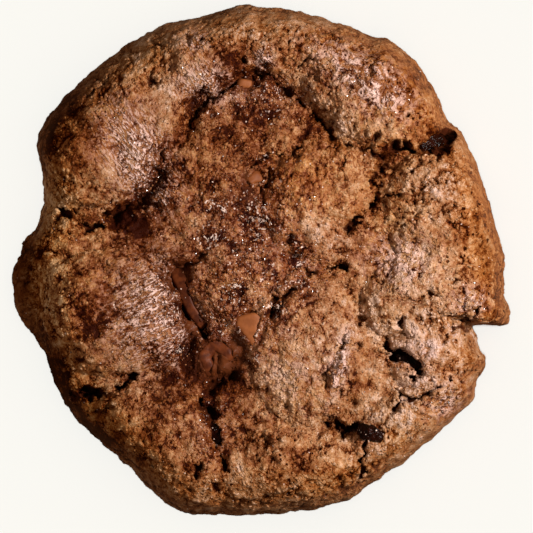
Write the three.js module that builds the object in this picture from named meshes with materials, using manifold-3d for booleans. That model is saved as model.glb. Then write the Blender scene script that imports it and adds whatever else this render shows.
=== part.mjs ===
// A soft round chocolate cookie with a crackled, swollen crust and melted chocolate in its splits.
// Millimetres, +Z up. The underside lies on z = 0, and the origin is below the middle of the cookie.
import * as THREE from "three";
import { mergeVertices } from "three/addons/utils/BufferGeometryUtils.js";
import { ImprovedNoise } from "three/addons/math/ImprovedNoise.js";
import Module from "manifold-3d";

// The edge seen from above: bearing in degrees from +X, anticlockwise, and reach from the middle in mm.
const edge = [
  [0, 43.8], [6, 43.0], [20, 42.3], [33, 42.9], [38.5, 42.3], [42, 43.4], [53, 45.5], [60, 46.2],
  [64, 45.4], [82, 45.6], [96, 46.4], [104, 45.4], [110, 46.2], [130, 46.1], [148, 46.7],
  [153, 45.7], [158, 42.9], [165, 40.8], [171, 41.2], [176, 43.5], [184, 45.2], [193, 44.9],
  [198, 43.6], [203, 42.6], [214, 43.7], [236, 44.0], [246, 46.2], [252, 47.3], [262, 46.2],
  [275, 45.3], [286, 45.8], [304, 44.2], [318, 44.4], [327, 45.4], [331, 44.5], [334.4, 44.8], [336.6, 44.0],
  [338, 42.6], [340.5, 41.2], [343.2, 40.1], [344.4, 42.0], [345.2, 45.0], [347.2, 45.7], [349.3, 45.4],
  [353, 44.0],
];

const body = {
  crustHeight: 10.8, // the crust between its swellings
  edgeHeight: 2.0, // the widest line of the side
  tuckIn: 1.5, // how far the side draws in below that line
  shoulder: 8.5, // width of the rounded side seen from above
  sideLength: 12, // what the mesh lays out over that side, so that it isn't stretched there
  underside: 0.15, // share of the mesh that the underside gets
  fineness: 21, // splits of each edge of the icosahedron
};

// A low tongue of dough that ran out under the crust.
const foot = { bearing: 187, halfAngle: 9.5, reach: 4.4, height: 4.8, roundness: 3 };

// Swellings of the crust: centre, half length, half width, turn in degrees and rise over the crust.
const swellings = [
  { x: -27, y: -9, long: 14.5, wide: 11.5, turn: 0, rise: 4.2 },
  { x: -27, y: 23.5, long: 16, wide: 11.5, turn: 42, rise: 4.0 },
  { x: -11, y: 38.5, long: 12.5, wide: 8.5, turn: 20, rise: 3.8 },
  { x: 5, y: 40.5, long: 12, wide: 7.5, turn: -8, rise: 3.6 },
  { x: 20, y: 31.5, long: 16, wide: 10, turn: -38, rise: 4.1 },
  { x: 33.5, y: 10, long: 13, wide: 11.5, turn: 75, rise: 4.0 },
  { x: 31, y: -6, long: 13.5, wide: 9, turn: 10, rise: 4.3 },
  { x: 32, y: -18, long: 10, wide: 8, turn: -30, rise: 3.6 },
  { x: 26, y: -31, long: 12, wide: 8, turn: 42, rise: 3.7 },
  { x: 8, y: -15.5, long: 14.5, wide: 11, turn: 98, rise: 3.2 },
  { x: 5, y: -38, long: 15, wide: 8.5, turn: 0, rise: 3.8 },
  { x: -17, y: -33, long: 15, wide: 10, turn: -40, rise: 3.7 },
  { x: 10, y: 11, long: 11, wide: 9.5, turn: 60, rise: 2.1 },
  { x: -4.5, y: -3, long: 9.5, wide: 7.5, turn: 20, rise: 1.7 },
  { x: -9, y: 14, long: 11, wide: 8.5, turn: 70, rise: 1.2 },
];
const swellingEdge = 0.62; // exponent of a swelling's profile: lower is steeper at its rim
const swellingMerge = 5; // how sharply neighbours meet

// Splits in the crust: the line each follows, its width and its depth.
const splits = [
  { route: [[36, 26], [32.5, 22.5], [29, 20.8]], width: 5.2, depth: 4.4 },
  { route: [[29, 20.8], [24.5, 20.2], [20.8, 21.4]], width: 3.0, depth: 3.3 },
  { route: [[22.5, 17.2], [20.2, 13], [20, 9.5], [15, 5.6]], width: 2.4, depth: 2.2 },
  { route: [[13, 21.8], [9.5, 26.5], [4.6, 30.2], [0.5, 33.8], [-8, 30.5]], width: 2.6, depth: 2.0 },
  { route: [[-12.8, 28.5], [-14, 24], [-18, 18.5], [-21.5, 12], [-27.5, 8.6]], width: 3.0, depth: 2.7 },
  { route: [[-37, 8.6], [-34, 8.2]], width: 2.8, depth: 2.3 },
  { route: [[-31.5, 6.2], [-28.5, 6.9]], width: 2.6, depth: 2.2 },
  { route: [[-17, -1.4], [-15, -4.8], [-13.9, -8.2], [-10.6, -12]], width: 2.4, depth: 2.6 },
  { route: [[14.5, -1], [8, -2.6], [2.5, -7.4], [-0.4, -14]], width: 2.3, depth: 1.7 },
  { route: [[-35, -24.6], [-31.5, -23.4], [-29, -22.8]], width: 4.0, depth: 3.6 },
  { route: [[-29, -22.8], [-24.5, -22]], width: 2.6, depth: 2.5 },
  { route: [[-4.6, -21], [-9.6, -23.4], [-8.4, -28], [-6.4, -36.5]], width: 2.8, depth: 2.5 },
  { route: [[-10.6, -35.6], [-12.2, -38.4], [-11.6, -41.4]], width: 2.4, depth: 2.2 },
  { route: [[10.8, -27.8], [14.8, -30.4], [17, -28.6]], width: 2.9, depth: 2.8 },
  { route: [[18.6, -32.5], [17.6, -38.6]], width: 2.3, depth: 2.0 },
  { route: [[22.4, -14.4], [25, -17], [28.2, -19.2]], width: 3.4, depth: 3.0 },
  { route: [[24, -26], [25.6, -22.8], [30, -23.7], [33.4, -21]], width: 2.3, depth: 2.0 },
  { route: [[35, -11.6], [37.6, -9.6], [39.3, -7.4]], width: 2.4, depth: 2.0 },
  { route: [[18.4, -6.6], [17, -14.6], [16.2, -25.6]], width: 2.3, depth: 1.6 },
  { route: [[-2, 18], [2.4, 19], [6.6, 20.2]], width: 2.3, depth: 1.5 },
];

// Pits where bubbles broke through: centre, radius and depth.
const pits = [
  { x: -28.8, y: 32.6, radius: 1.4, depth: 1.7 },
  { x: -19.3, y: 32.2, radius: 1.5, depth: 2.0 },
  { x: 7.2, y: 35, radius: 1.5, depth: 2.0 },
  { x: 24, y: 12, radius: 1.4, depth: 1.9 },
  { x: 24.4, y: -10.8, radius: 1.6, depth: 2.2 },
  { x: 14, y: -23.4, radius: 1.4, depth: 2.0 },
  { x: -8.2, y: -40.2, radius: 1.4, depth: 2.0 },
];
const wallCurve = 2.2; // exponent across an opening: higher has a flatter floor
const wallSoftness = 1.3; // exponent of its depth: higher has a softer rim

// Mesh near an opening draws in to its line, so that its walls keep their shape.
const gather = { reach: 1.7, closeness: 0.28 };

// The uneven bake: a lumpy swell under everything and the crumb on top of it, each a size and a depth.
const unevenness = [
  { size: 17, depth: 0.9 },
  { size: 5.5, depth: 0.7 },
  { size: 2.4, depth: 0.45 },
];
const edgeUnevenness = { size: 3.2, depth: 0.35 };

const dough = { colour: 0x7d4b2b, roughness: 0.7 };
const dark = { colour: 0x2b140a, roughness: 0.22 };
const milk = { colour: 0x6f3b20, roughness: 0.3 };

// Chocolate that shows: the line it lies along as x, y and the width there, its thickness, and how far its
// middle is sunk below the crust.
const chocolates = [
  {
    name: "chocolate_seam_left", look: milk, thickness: 2.4, sunk: 0.9,
    route: [[-15, -2.2, 2.6], [-14.1, -4.6, 1.8], [-13.3, -7.2, 1.5], [-12, -9.6, 1.5], [-10.8, -11.4, 1.2]],
  },
  {
    name: "chocolate_pool_upper", look: milk, thickness: 2.6, sunk: 1.2,
    route: [[-2.4, -10.9, 5], [-2.2, -12.2, 3.4], [-1.8, -13.6, 1.9], [-1.6, -14.6, 1.1]],
  },
  {
    name: "chocolate_pool_lower", look: milk, thickness: 2.8, sunk: 1.3,
    route: [
      [-9.6, -19.8, 1.7], [-9.9, -18, 2.3], [-10, -16.6, 2.5], [-8.7, -15.1, 2.3], [-6.9, -15.6, 2.1],
      [-5.8, -17, 1.6],
    ],
  },
  {
    name: "chocolate_drop_middle", look: milk, thickness: 1.8, sunk: 0.7,
    route: [[-1.9, 14.8, 1.9], [-0.9, 15.3, 2.3]],
  },
  {
    name: "chocolate_drop_small", look: milk, thickness: 1.4, sunk: 0.5,
    route: [[-0.85, 13.1, 1.1], [-0.85, 12.5, 1.1]],
  },
  {
    name: "chocolate_drop_top", look: milk, thickness: 2, sunk: 0.8,
    route: [[-3.9, 32.1, 1.7], [-2.3, 31.9, 1.5]],
  },
  {
    name: "chocolate_chunk_rim", look: dark, thickness: 3.4, sunk: 0.6,
    route: [[31.8, 21.8, 3.6], [29, 20.8, 2.6]],
  },
  {
    name: "chocolate_chunk_right", look: dark, thickness: 3.2, sunk: 0.4,
    route: [[25, -16.8, 2.4], [27.4, -18.4, 2.9]],
  },
  {
    name: "chocolate_chunk_lower_right", look: dark, thickness: 3.2, sunk: 1.4,
    route: [[18.2, -30.4, 3], [20.6, -31, 2.7]],
  },
  {
    name: "chocolate_chunk_bottom", look: dark, thickness: 3, sunk: 0.5,
    route: [[-8.6, -29.6, 2.6], [-7.8, -31.8, 2.3]],
  },
];
const chocolateMesh = { around: 10, along: 8 };
const chocolateFit = 0.35; // clearance between a piece of chocolate and its hollow
const endReach = 0.35; // how far a piece runs past its line's ends, as a share of its width there
const bluntness = 4; // exponent of a piece's ends: 2 is round, higher is blunter
const clearAbove = 4; // how many times its thickness is kept clear above a piece

const noise = new ImprovedNoise();
const noiseLayer = 7.3; // keeps one size of noise from lining up with another

function unevenAt(x, y, { size, depth }) {
  return depth * noise.noise(x / size, y / size, noiseLayer * size);
}

// Cubic through the neighbouring edge points, so that the outline has no corners but the steep notch.
function reachAt(bearing) {
  const b = ((bearing % 360) + 360) % 360;
  const count = edge.length;
  const next = edge.findIndex(([at]) => at > b);
  const i = next < 0 ? count - 1 : next - 1;
  const point = (k) => {
    const turns = Math.floor(k / count);
    const [at, reach] = edge[k - turns * count];
    return [at + 360 * turns, reach];
  };
  const [p0, p1, p2, p3] = [i - 1, i, i + 1, i + 2].map(point);
  const span = p2[0] - p1[0];
  const t = (b - p1[0]) / span;
  const slopeIn = ((p2[1] - p0[1]) / (p2[0] - p0[0])) * span;
  const slopeOut = ((p3[1] - p1[1]) / (p3[0] - p1[0])) * span;
  const t2 = t * t;
  const t3 = t2 * t;
  return (
    (2 * t3 - 3 * t2 + 1) * p1[1] +
    (t3 - 2 * t2 + t) * slopeIn +
    (3 * t2 - 2 * t3) * p2[1] +
    (t3 - t2) * slopeOut
  );
}

function raggedReachAt(angle) {
  const reach = reachAt(THREE.MathUtils.radToDeg(angle));
  return reach + unevenAt(reach * Math.cos(angle), reach * Math.sin(angle), edgeUnevenness);
}

// Swellings grow out of the crust like pillows, and the higher of two neighbours wins softly.
function swellingAt(x, y) {
  const sum = swellings.reduce((total, s) => {
    const turn = THREE.MathUtils.degToRad(s.turn);
    const dx = x - s.x;
    const dy = y - s.y;
    const along = (dx * Math.cos(turn) + dy * Math.sin(turn)) / s.long;
    const across = (dy * Math.cos(turn) - dx * Math.sin(turn)) / s.wide;
    const inside = Math.max(0, 1 - along * along - across * across);
    return total + Math.pow(s.rise * Math.pow(inside, swellingEdge), swellingMerge);
  }, 0);
  return Math.pow(sum, 1 / swellingMerge);
}

// Every opening near a point: its nearest point, how far that is, and the opening's half width and depth.
function openingsNear(x, y) {
  const at = new THREE.Vector3(x, y, 0);
  const inSplits = splits.flatMap(({ route, width, depth }) =>
    route.slice(1).map((end, i) => {
      const line = new THREE.Line3(new THREE.Vector3(...route[i], 0), new THREE.Vector3(...end, 0));
      const nearest = line.closestPointToPoint(at, true, new THREE.Vector3());
      return { nearest, distance: nearest.distanceTo(at), halfWidth: width / 2, depth };
    }),
  );
  const inPits = pits.map((pit) => {
    const nearest = new THREE.Vector3(pit.x, pit.y, 0);
    return { nearest, distance: nearest.distanceTo(at), halfWidth: pit.radius, depth: pit.depth };
  });
  return [...inSplits, ...inPits];
}

function openingAt(x, y) {
  const depths = openingsNear(x, y).map(({ distance, halfWidth, depth }) => {
    const wall = Math.max(0, 1 - Math.pow(distance / halfWidth, wallCurve));
    return depth * Math.pow(wall, wallSoftness);
  });
  return Math.max(...depths);
}

function gathered(x, y) {
  const near = openingsNear(x, y).reduce((a, b) => (b.distance < a.distance ? b : a));
  const share = Math.min(1, near.distance / gather.reach);
  const keep = gather.closeness + (1 - gather.closeness) * share * share;
  return {
    x: THREE.MathUtils.lerp(near.nearest.x, x, keep),
    y: THREE.MathUtils.lerp(near.nearest.y, y, keep),
  };
}

// Quarter of an ellipse: 0 at the edge, 1 from the full width inwards.
function rounded(distance, width) {
  const t = THREE.MathUtils.clamp(distance / width, 0, 1);
  return Math.sqrt(1 - (1 - t) * (1 - t));
}

// Height of the baked top over a point.
function topHeightAt(x, y) {
  const angle = Math.atan2(y, x);
  const inFromEdge = raggedReachAt(angle) - Math.hypot(x, y);
  const bearing = THREE.MathUtils.euclideanModulo(THREE.MathUtils.radToDeg(angle), 360);
  const footShare = Math.exp(-(((bearing - foot.bearing) / foot.halfAngle) ** 2));
  const uneven = unevenness.reduce((total, layer) => total + unevenAt(x, y, layer), 0);
  const crust = body.crustHeight + swellingAt(x, y) + uneven - openingAt(x, y) - body.edgeHeight;
  const main = crust * rounded(inFromEdge - foot.reach * footShare, body.shoulder);
  const onFoot = (foot.height - body.edgeHeight) * footShare * rounded(inFromEdge, foot.roundness);
  return body.edgeHeight + Math.max(main, onFoot);
}

// How far out a share of the way over the top lies: evenly over the crust, then down the rounded side.
function layOut(share, reach) {
  const crust = reach - body.shoulder;
  const way = share * (crust + body.sideLength);
  const turn = ((way - crust) / body.sideLength) * (Math.PI / 2);
  return way < crust ? way : crust + body.shoulder * Math.sin(turn);
}

// A ball of even triangles laid out over the cookie: its cap becomes the top, the rest the underside.
function doughGeometry() {
  const ball = new THREE.IcosahedronGeometry(1, body.fineness);
  ball.deleteAttribute("normal");
  ball.deleteAttribute("uv");
  const laidOut = mergeVertices(ball);
  const position = laidOut.getAttribute("position");
  const topShare = 1 - body.underside;
  for (let i = 0; i < position.count; i++) {
    const angle = Math.atan2(position.getY(i), position.getX(i));
    const reach = raggedReachAt(angle);
    const cap = (1 - THREE.MathUtils.clamp(position.getZ(i), -1, 1)) / 2;
    const onTop = cap <= topShare;
    const share = Math.sqrt(onTop ? cap / topShare : (1 - cap) / body.underside);
    const out = onTop ? layOut(share, reach) : share * reach;
    const x = out * Math.cos(angle);
    const y = out * Math.sin(angle);
    if (onTop) {
      const drawn = reach - out > gather.reach ? gathered(x, y) : { x, y };
      position.setXYZ(i, drawn.x, drawn.y, topHeightAt(drawn.x, drawn.y));
    } else {
      const rim = Math.max(0, 1 - (reach - out) / body.tuckIn);
      position.setXYZ(i, x, y, body.edgeHeight * (1 - Math.sqrt(1 - rim * rim)));
    }
  }
  return laidOut;
}

// A ball drawn out along a line, with blunt ends. With room, it is the hollow that the piece lies in.
function chocolateGeometry({ route, thickness, sunk }, room = 0) {
  const { around, along } = chocolateMesh;
  const ball = new THREE.SphereGeometry(1, around, along).rotateZ(Math.PI / 2);
  ball.deleteAttribute("normal");
  ball.deleteAttribute("uv");
  const drawn = mergeVertices(ball);
  const points = route.map(([x, y]) => new THREE.Vector3(x, y, topHeightAt(x, y) - sunk));
  const widths = route.map(([, , width]) => width);
  const runOn = (end, before, width) => {
    const step = end.clone().sub(before).setZ(0).normalize();
    return end.clone().addScaledVector(step, endReach * width + room);
  };
  const first = runOn(points[0], points[1], widths[0]);
  const last = runOn(points.at(-1), points.at(-2), widths.at(-1));
  const widthsOn = [widths[0], ...widths, widths.at(-1)];
  const line = new THREE.CatmullRomCurve3([first, ...points, last], false, "chordal");
  const position = drawn.getAttribute("position");
  const vertex = new THREE.Vector3();
  for (let i = 0; i < position.count; i++) {
    vertex.fromBufferAttribute(position, i);
    const t = THREE.MathUtils.clamp((1 + vertex.x) / 2, 0, 1);
    const ring = Math.hypot(vertex.y, vertex.z);
    const blunt = Math.pow(Math.max(0, 1 - Math.abs(vertex.x) ** bluntness), 1 / bluntness);
    const swell = ring > Number.EPSILON ? blunt / ring : 0;
    const centre = line.getPointAt(t);
    const way = line.getUtoTmapping(t) * (widthsOn.length - 1);
    const before = Math.min(Math.floor(way), widthsOn.length - 2);
    const width = THREE.MathUtils.lerp(widthsOn[before], widthsOn[before + 1], way - before);
    const tangent = line.getTangentAt(t).setZ(0).normalize();
    const side = vertex.y * swell * (width / 2 + room);
    const up = vertex.z * swell * (thickness / 2 + room);
    const lift = room > 0 && up > 0 ? clearAbove * up : up;
    position.setXYZ(i, centre.x - tangent.y * side, centre.y + tangent.x * side, centre.z + lift);
  }
  return drawn;
}

const wasm = await Module();
wasm.setup();

function solidOf(geometry) {
  return new wasm.Manifold(
    new wasm.Mesh({
      numProp: 3,
      vertProperties: new Float32Array(geometry.getAttribute("position").array),
      triVerts: new Uint32Array(geometry.index.array),
    }),
  );
}

function geometryOf(solid) {
  const { numProp, numVert, vertProperties, triVerts } = solid.getMesh();
  const points = new Float32Array(numVert * 3);
  for (let i = 0; i < numVert; i++) {
    points.set(vertProperties.subarray(i * numProp, i * numProp + 3), i * 3);
  }
  return new THREE.BufferGeometry()
    .setAttribute("position", new THREE.BufferAttribute(points, 3))
    .setIndex(new THREE.BufferAttribute(triVerts, 1));
}

function piece(name, geometry, { colour, roughness }) {
  geometry.computeVertexNormals();
  const material = new THREE.MeshStandardMaterial({ color: colour, roughness, metalness: 0 });
  const mesh = new THREE.Mesh(geometry, material);
  mesh.name = name;
  return mesh;
}

const hollows = chocolates.map((chocolate) => solidOf(chocolateGeometry(chocolate, chocolateFit)));
const hollowed = hollows.reduce((left, hollow) => left.subtract(hollow), solidOf(doughGeometry()));

const cookie = new THREE.Group();
cookie.add(piece("cookie_dough", geometryOf(hollowed), dough));
for (const chocolate of chocolates) {
  cookie.add(piece(chocolate.name, chocolateGeometry(chocolate), chocolate.look));
}

// The middle of the outline comes to the origin.
const extent = new THREE.Box3().setFromObject(cookie);
const middle = extent.getCenter(new THREE.Vector3());
cookie.children.forEach((mesh) => mesh.geometry.translate(-middle.x, -middle.y, -extent.min.z));

export default cookie;
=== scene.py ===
# A soft round chocolate cookie, looked at from straight above on a pale floor.
import math
import bpy
import numpy as np
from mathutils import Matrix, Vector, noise


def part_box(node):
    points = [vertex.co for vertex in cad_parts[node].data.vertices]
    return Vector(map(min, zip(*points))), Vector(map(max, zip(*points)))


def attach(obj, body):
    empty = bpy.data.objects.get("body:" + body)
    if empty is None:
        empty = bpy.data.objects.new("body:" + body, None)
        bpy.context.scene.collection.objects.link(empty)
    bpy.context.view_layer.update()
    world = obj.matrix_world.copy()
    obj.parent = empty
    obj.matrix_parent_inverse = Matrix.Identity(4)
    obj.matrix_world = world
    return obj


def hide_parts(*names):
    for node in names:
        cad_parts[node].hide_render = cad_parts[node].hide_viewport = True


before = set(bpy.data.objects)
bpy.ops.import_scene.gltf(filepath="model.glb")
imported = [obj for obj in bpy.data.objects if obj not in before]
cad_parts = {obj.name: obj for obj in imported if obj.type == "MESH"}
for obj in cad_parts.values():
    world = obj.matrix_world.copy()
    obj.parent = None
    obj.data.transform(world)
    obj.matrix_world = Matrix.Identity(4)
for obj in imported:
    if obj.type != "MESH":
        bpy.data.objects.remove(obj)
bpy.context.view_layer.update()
mm = 0.001
noise.seed_set(1)  # or the wobbles of the chocolate differ in each run

# The edge seen from above: bearing in degrees from +X, anticlockwise, and reach from the middle in mm.
edge = [
    (0, 43.8), (6, 43.0), (20, 42.3), (33, 42.9), (38.5, 42.3), (42, 43.4), (53, 45.5), (60, 46.2),
    (64, 45.4), (82, 45.6), (96, 46.4), (104, 45.4), (110, 46.2), (130, 46.1), (148, 46.7), (153, 45.7),
    (158, 42.9), (165, 40.8), (171, 41.2), (176, 43.5), (184, 45.2), (193, 44.9), (198, 43.6), (203, 42.6),
    (214, 43.7), (236, 44.0), (246, 46.2), (252, 47.3), (262, 46.2), (275, 45.3), (286, 45.8), (304, 44.2),
    (318, 44.4), (327, 45.4), (331, 44.5), (334.4, 44.8), (336.6, 44.0), (338, 42.6), (340.5, 41.2),
    (343.2, 40.1), (344.4, 42.0), (345.2, 45.0), (347.2, 45.7), (349.3, 45.4), (353, 44.0),
]

dough = {
    "crustHeight": 10.8,  # mm, the crust between its swellings
    "edgeHeight": 2.0,  # mm, the widest line of the side
    "tuckIn": 1.5,  # mm, how far the side draws in below that line
    "shoulder": 8.5,  # mm, width of the rounded side seen from above
    "sideLength": 15.0,  # mm of mesh that go down that side
    "squares": 288,  # mesh squares across the top, a multiple of 8
    "tuckRows": 5,
    "undersideRows": 26,
    "undersideTone": -0.5,  # the underside is baked darker, most of all near its rim
    "undersideRim": -0.7,
    "undersideRimFrom": 2,  # mm in from the edge where that starts to fade
    "undersideRimTo": 16,
    "undersidePores": 0.5,
    "undersideGolden": 0.5,
    "brownedAndShadedFrom": 1.5,  # mm in from the edge where the side's browning and painted shade start to fade
    "brownedAndShadedTo": 5.2,
    "skinFrom": 0.8,  # mm in from the edge where the side's smooth skin starts to break up
    "skinTo": 3.6,
    "sideFrom": 3.0,  # mm in from the edge where the dry side starts to turn into the glossier top
    "sideTo": 11.0,
    "skin": 0.4,  # how smooth that skin is
    "closedFrom": 0.6,  # mm in from the edge, nearer than this nothing opens
    "closedTo": 1.5,
    "swellingEdge": 0.62,  # lower is steeper at a swelling's rim
    "swellingMerge": 5,  # how sharply neighbours meet
}
foot = {"bearing": 187, "halfAngle": 9.5, "reach": 4.4, "height": 4.8, "roundness": 3}

# Swellings of the crust: x, y, half length, half width (mm), turn in degrees, rise (mm).
swellings = [
    (-27, -9, 14.5, 11.5, 0, 4.2), (-27, 23.5, 16, 11.5, 42, 4.0), (-11, 38.5, 12.5, 8.5, 20, 3.8),
    (5, 40.5, 12, 7.5, -8, 3.6), (20, 31.5, 16, 10, -38, 4.1), (33.5, 10, 13, 11.5, 75, 4.0),
    (31, -6, 13.5, 9, 10, 4.3), (32, -18, 10, 8, -30, 3.6), (26, -31, 12, 8, 42, 3.7),
    (8, -15.5, 14.5, 11, 98, 3.2), (5, -38, 15, 8.5, 0, 3.8), (-17, -33, 15, 10, -40, 3.7),
    (10, 11, 11, 9.5, 60, 2.1), (-4.5, -3, 9.5, 7.5, 20, 1.7), (-9, 14, 11, 8.5, 70, 1.2),
]

# Splits in the crust: the line each follows, its width and its depth in mm.
splits = [
    ([(33.8, 23.8), (32.6, 22.4), (31, 20.6)], 4.6, 4.6),
    ([(30.6, 21), (27.5, 20), (24.4, 19.8), (21, 20.8)], 3.2, 3.4),
    ([(22, 17.6), (20, 14), (20, 9.6), (17.4, 7.4), (14.6, 5.4)], 1.1, 2.4),
    ([(13, 21.8), (9.5, 26.5), (4.6, 30.2), (1, 33.6), (-8, 30.5)], 1.3, 2.0),
    ([(-8.6, 29.2), (-11, 28), (-12.4, 26.4), (-12.7, 24.6)], 1.5, 2.2),
    ([(-16.6, 20.8), (-18.6, 17.4), (-19.8, 13.4)], 0.7, 1.2),
    ([(-19.6, 13), (-21.5, 10.2), (-24.5, 9.8), (-28, 8.6)], 1.7, 2.4),
    ([(-20.6, 9.8), (-18, 11.6), (-15, 13.2)], 0.7, 1.1),
    ([(-36.6, 8.7), (-35, 8.4)], 2.0, 2.4),
    ([(-31.5, 6), (-28.5, 6.6)], 1.5, 2.4),
    ([(-16, -2.4), (-15.1, -4.6), (-14.5, -7), (-13.8, -9), (-12.4, -10.9), (-10.4, -13)], 1.0, 2.8),
    ([(-13.6, -0.6), (-11.4, 0.2), (-10, 1.6)], 1.0, 1.6),
    ([(14.6, -0.8), (8, -2.6), (2.5, -7.4), (1, -10.4)], 1.1, 2.2),
    ([(-33.4, -24.6), (-31.8, -23.6), (-29.6, -22.9)], 2.2, 3.4),
    ([(-29, -22.8), (-25, -22.2), (-22.4, -20.8)], 1.5, 2.8),
    ([(-4.8, -21), (-9.4, -23)], 1.8, 2.4),
    ([(-10.8, -25.2), (-8.6, -27.6)], 1.6, 2.6),
    ([(-8.6, -29.6), (-8.2, -31.4), (-6.4, -36.5)], 1.3, 2.3),
    ([(-8.1, -16.5), (-7.9, -18), (-7.4, -20)], 2.2, 0.8),
    ([(-10.6, -35.6), (-12.2, -38.4), (-11.8, -41.4)], 1.2, 2.4),
    ([(11.4, -28), (14.4, -30.5), (17.2, -28.8)], 1.5, 3.0),
    ([(18.6, -32.8), (17.6, -38.6)], 1.0, 2.2),
    ([(22.6, -14.4), (23.8, -16.4)], 1.3, 2.4),
    ([(24.6, -17), (27, -19.4)], 2.8, 4.0),
    ([(24, -26), (25.4, -23), (26, -24), (30, -23.7), (33.2, -21.2)], 0.9, 2.2),
    ([(34.5, -11.6), (37.4, -12.4)], 1.2, 1.6),
    ([(35.4, -10.4), (38.2, -8.8), (39.4, -7.4)], 1.1, 2.2),
    ([(-2, 18), (2.4, 19), (6.6, 20.2)], 1.2, 1.6),
    ([(29, -6.2), (30.6, -6.4), (32, -6.9)], 0.6, 1.4),
    ([(14.4, -13.6), (12.9, -17), (11.2, -21.6)], 0.9, 1.1),
    ([(0.3, 17), (0.5, 13.5), (0, 11)], 0.6, 1.0),
    ([(15, 18), (14.7, 15.5)], 0.5, 0.9),
    ([(-27.5, 33.5), (-31, 30)], 0.9, 1.4),
    ([(19.5, 36), (19.3, 34)], 0.6, 1.0),
    ([(6.5, 35), (9.5, 37)], 0.9, 1.6),
    ([(20.5, 20.5), (17, 20.5), (13, 21.8)], 1.0, 1.6),
    ([(22.5, 12), (24.6, 12.2)], 1.0, 1.8),
    ([(28, 18), (27, 16)], 0.8, 1.2),
]

# Soft valleys, at the foot of the swellings: the line each follows, its width and its depth in mm.
valleys = [
    ([(-11.5, 29), (-14, 24.5), (-18.4, 19), (-21, 12.6), (-26, 8)], 5.5, 1.4),
    ([(-19, -0.5), (-16, -3.5), (-14.4, -8), (-12.6, -13.5), (-14, -19)], 3.6, 0.9),
    ([(-7, 32), (0.5, 33.4), (5, 30), (9.6, 26.4), (13, 21.8)], 4.6, 1.1),
    ([(22, 20), (20.6, 14), (20.4, 9.6), (15.4, 5.2)], 3.4, 0.8),
    ([(14.6, -0.8), (8, -3), (2.5, -7.6), (-0.6, -14)], 3.0, 0.6),
    ([(-5, -20.5), (-9.4, -23), (-9.4, -28), (-7.4, -36)], 4.4, 0.9),
    ([(11, -28.4), (15, -30.6), (20, -31)], 4.0, 0.7),
]

# Low ridges: the line each follows, its width and its rise in mm.
ridges = [
    ([(15.6, -13.4), (14.1, -17), (12.6, -22)], 1.9, 1.1),
    ([(-17.2, -3), (-16.4, -8), (-16.8, -14)], 2.6, 0.5),
    ([(-24, 24), (-21, 17.5), (-19.4, 13.4)], 2.8, 0.5),
]

# Pits where bubbles broke through: x, y, radius in mm.
pits = [
    (-36, 8.5, 1.1), (-31.5, 10, 0.9), (-26.2, 9, 1.6), (-32.2, 16, 0.5), (-25, 19, 0.5),
    (-28.8, 32.6, 0.9), (-13.5, 41, 0.9), (-18.5, 39, 0.7), (-18.5, 36, 0.7), (-19.3, 32.2, 1.1),
    (-17, 34.5, 0.6), (8, 40.5, 0.6), (4.5, 38.5, 0.8), (7, 35, 1.1), (8.8, 33, 0.6), (-3.4, 36.4, 1.3),
    (12.5, 24.5, 0.9), (26, 26, 0.6), (18.5, 23.5, 0.6), (27.5, 8.8, 0.7), (30, 8.3, 0.6), (23.5, 8, 0.6),
    (35.2, 17.6, 0.6), (22.6, 17.6, 0.9), (28, -2.6, 0.6), (34.4, -3.2, 0.5), (32.8, -13.4, 0.6),
    (18.3, -6.7, 0.8), (17.6, -10.7, 0.7), (17, -14.8, 0.8), (24.4, -10.8, 1.2), (11.6, -23, 0.8),
    (13.9, -23.4, 1.0), (16.3, -25.5, 0.8), (4.3, -25.7, 0.8), (6.4, -28.8, 0.5), (9.8, -30.3, 0.6),
    (0.8, -31.9, 0.9), (2.5, -31.2, 0.6), (15.3, -37.1, 0.5), (13.8, -39.6, 0.7), (17.5, -38.6, 1.0),
    (18.4, -33.2, 0.7), (29, -20.3, 0.5), (24, -26, 0.8), (25.3, -23.2, 0.9), (-27.3, -25.4, 0.8),
    (-29.3, -26.7, 0.7), (-25.2, -34.3, 0.9), (-20, -36.5, 1.0), (-12, -38, 0.9), (-8.3, -40.3, 1.0),
    (-12, -41.5, 0.7), (-8.6, -44.2, 0.6), (-8.8, -27.5, 1.1), (-10.3, -25.6, 0.8), (-37, -9, 0.6),
    (-27.8, -0.8, 0.5), (33.4, 23.4, 1.5), (31.6, 20, 1.4), (20.4, -31, 1.0), (14.6, -30.7, 0.9),
    (36.4, -10.3, 1.0), (5, 3.2, 1.0), (5.6, 0.8, 0.8),
]
opening = {
    "wallCurve": 1.9,  # higher has a flatter floor
    "pitDepth": 1.5,  # of a pit's radius
    "pitRoundness": 9,  # a pit is a split this much shorter than it is wide
    "ragged": [(4.2, 1.1), (1.6, 0.95), (0.8, 0.5)],  # size and shift in mm of the wandering of every wall
    "widths": [(3.4, 0.8), (1.3, 0.7)],  # size in mm and share by which a split widens and closes
    "bridgeSize": 2.3,  # mm, how often crumb bridges a split
    "bridgeFrom": -0.3,  # levels of the noise below which a bridge stands
    "bridgeTo": 0.05,
    "bridgeDepth": 0.12,  # share of the depth left under a bridge
    "narrowest": 0.15,  # share of its width that a split keeps
    "blackDepth": 3.6,  # mm, from here an opening is painted wholly dark, as painted shade
    "gatherReach": 1.1,  # mm, mesh this near is drawn in to an opening
    "closeness": 0.5,  # lower draws it nearer
}
unevenness = [(17, 0.9), (5.5, 0.7), (2.4, 0.45)]  # size and depth in mm
edgeUnevenness = (3.2, 0.35)
# Layers that keep one noise from lining up with another.
noiseLayer = {"form": 7.3, "wanderX": 11, "wanderY": 23, "width": 31, "bridge": 41}

zoneFall = 1.2  # higher makes the zones below fade sooner
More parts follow.
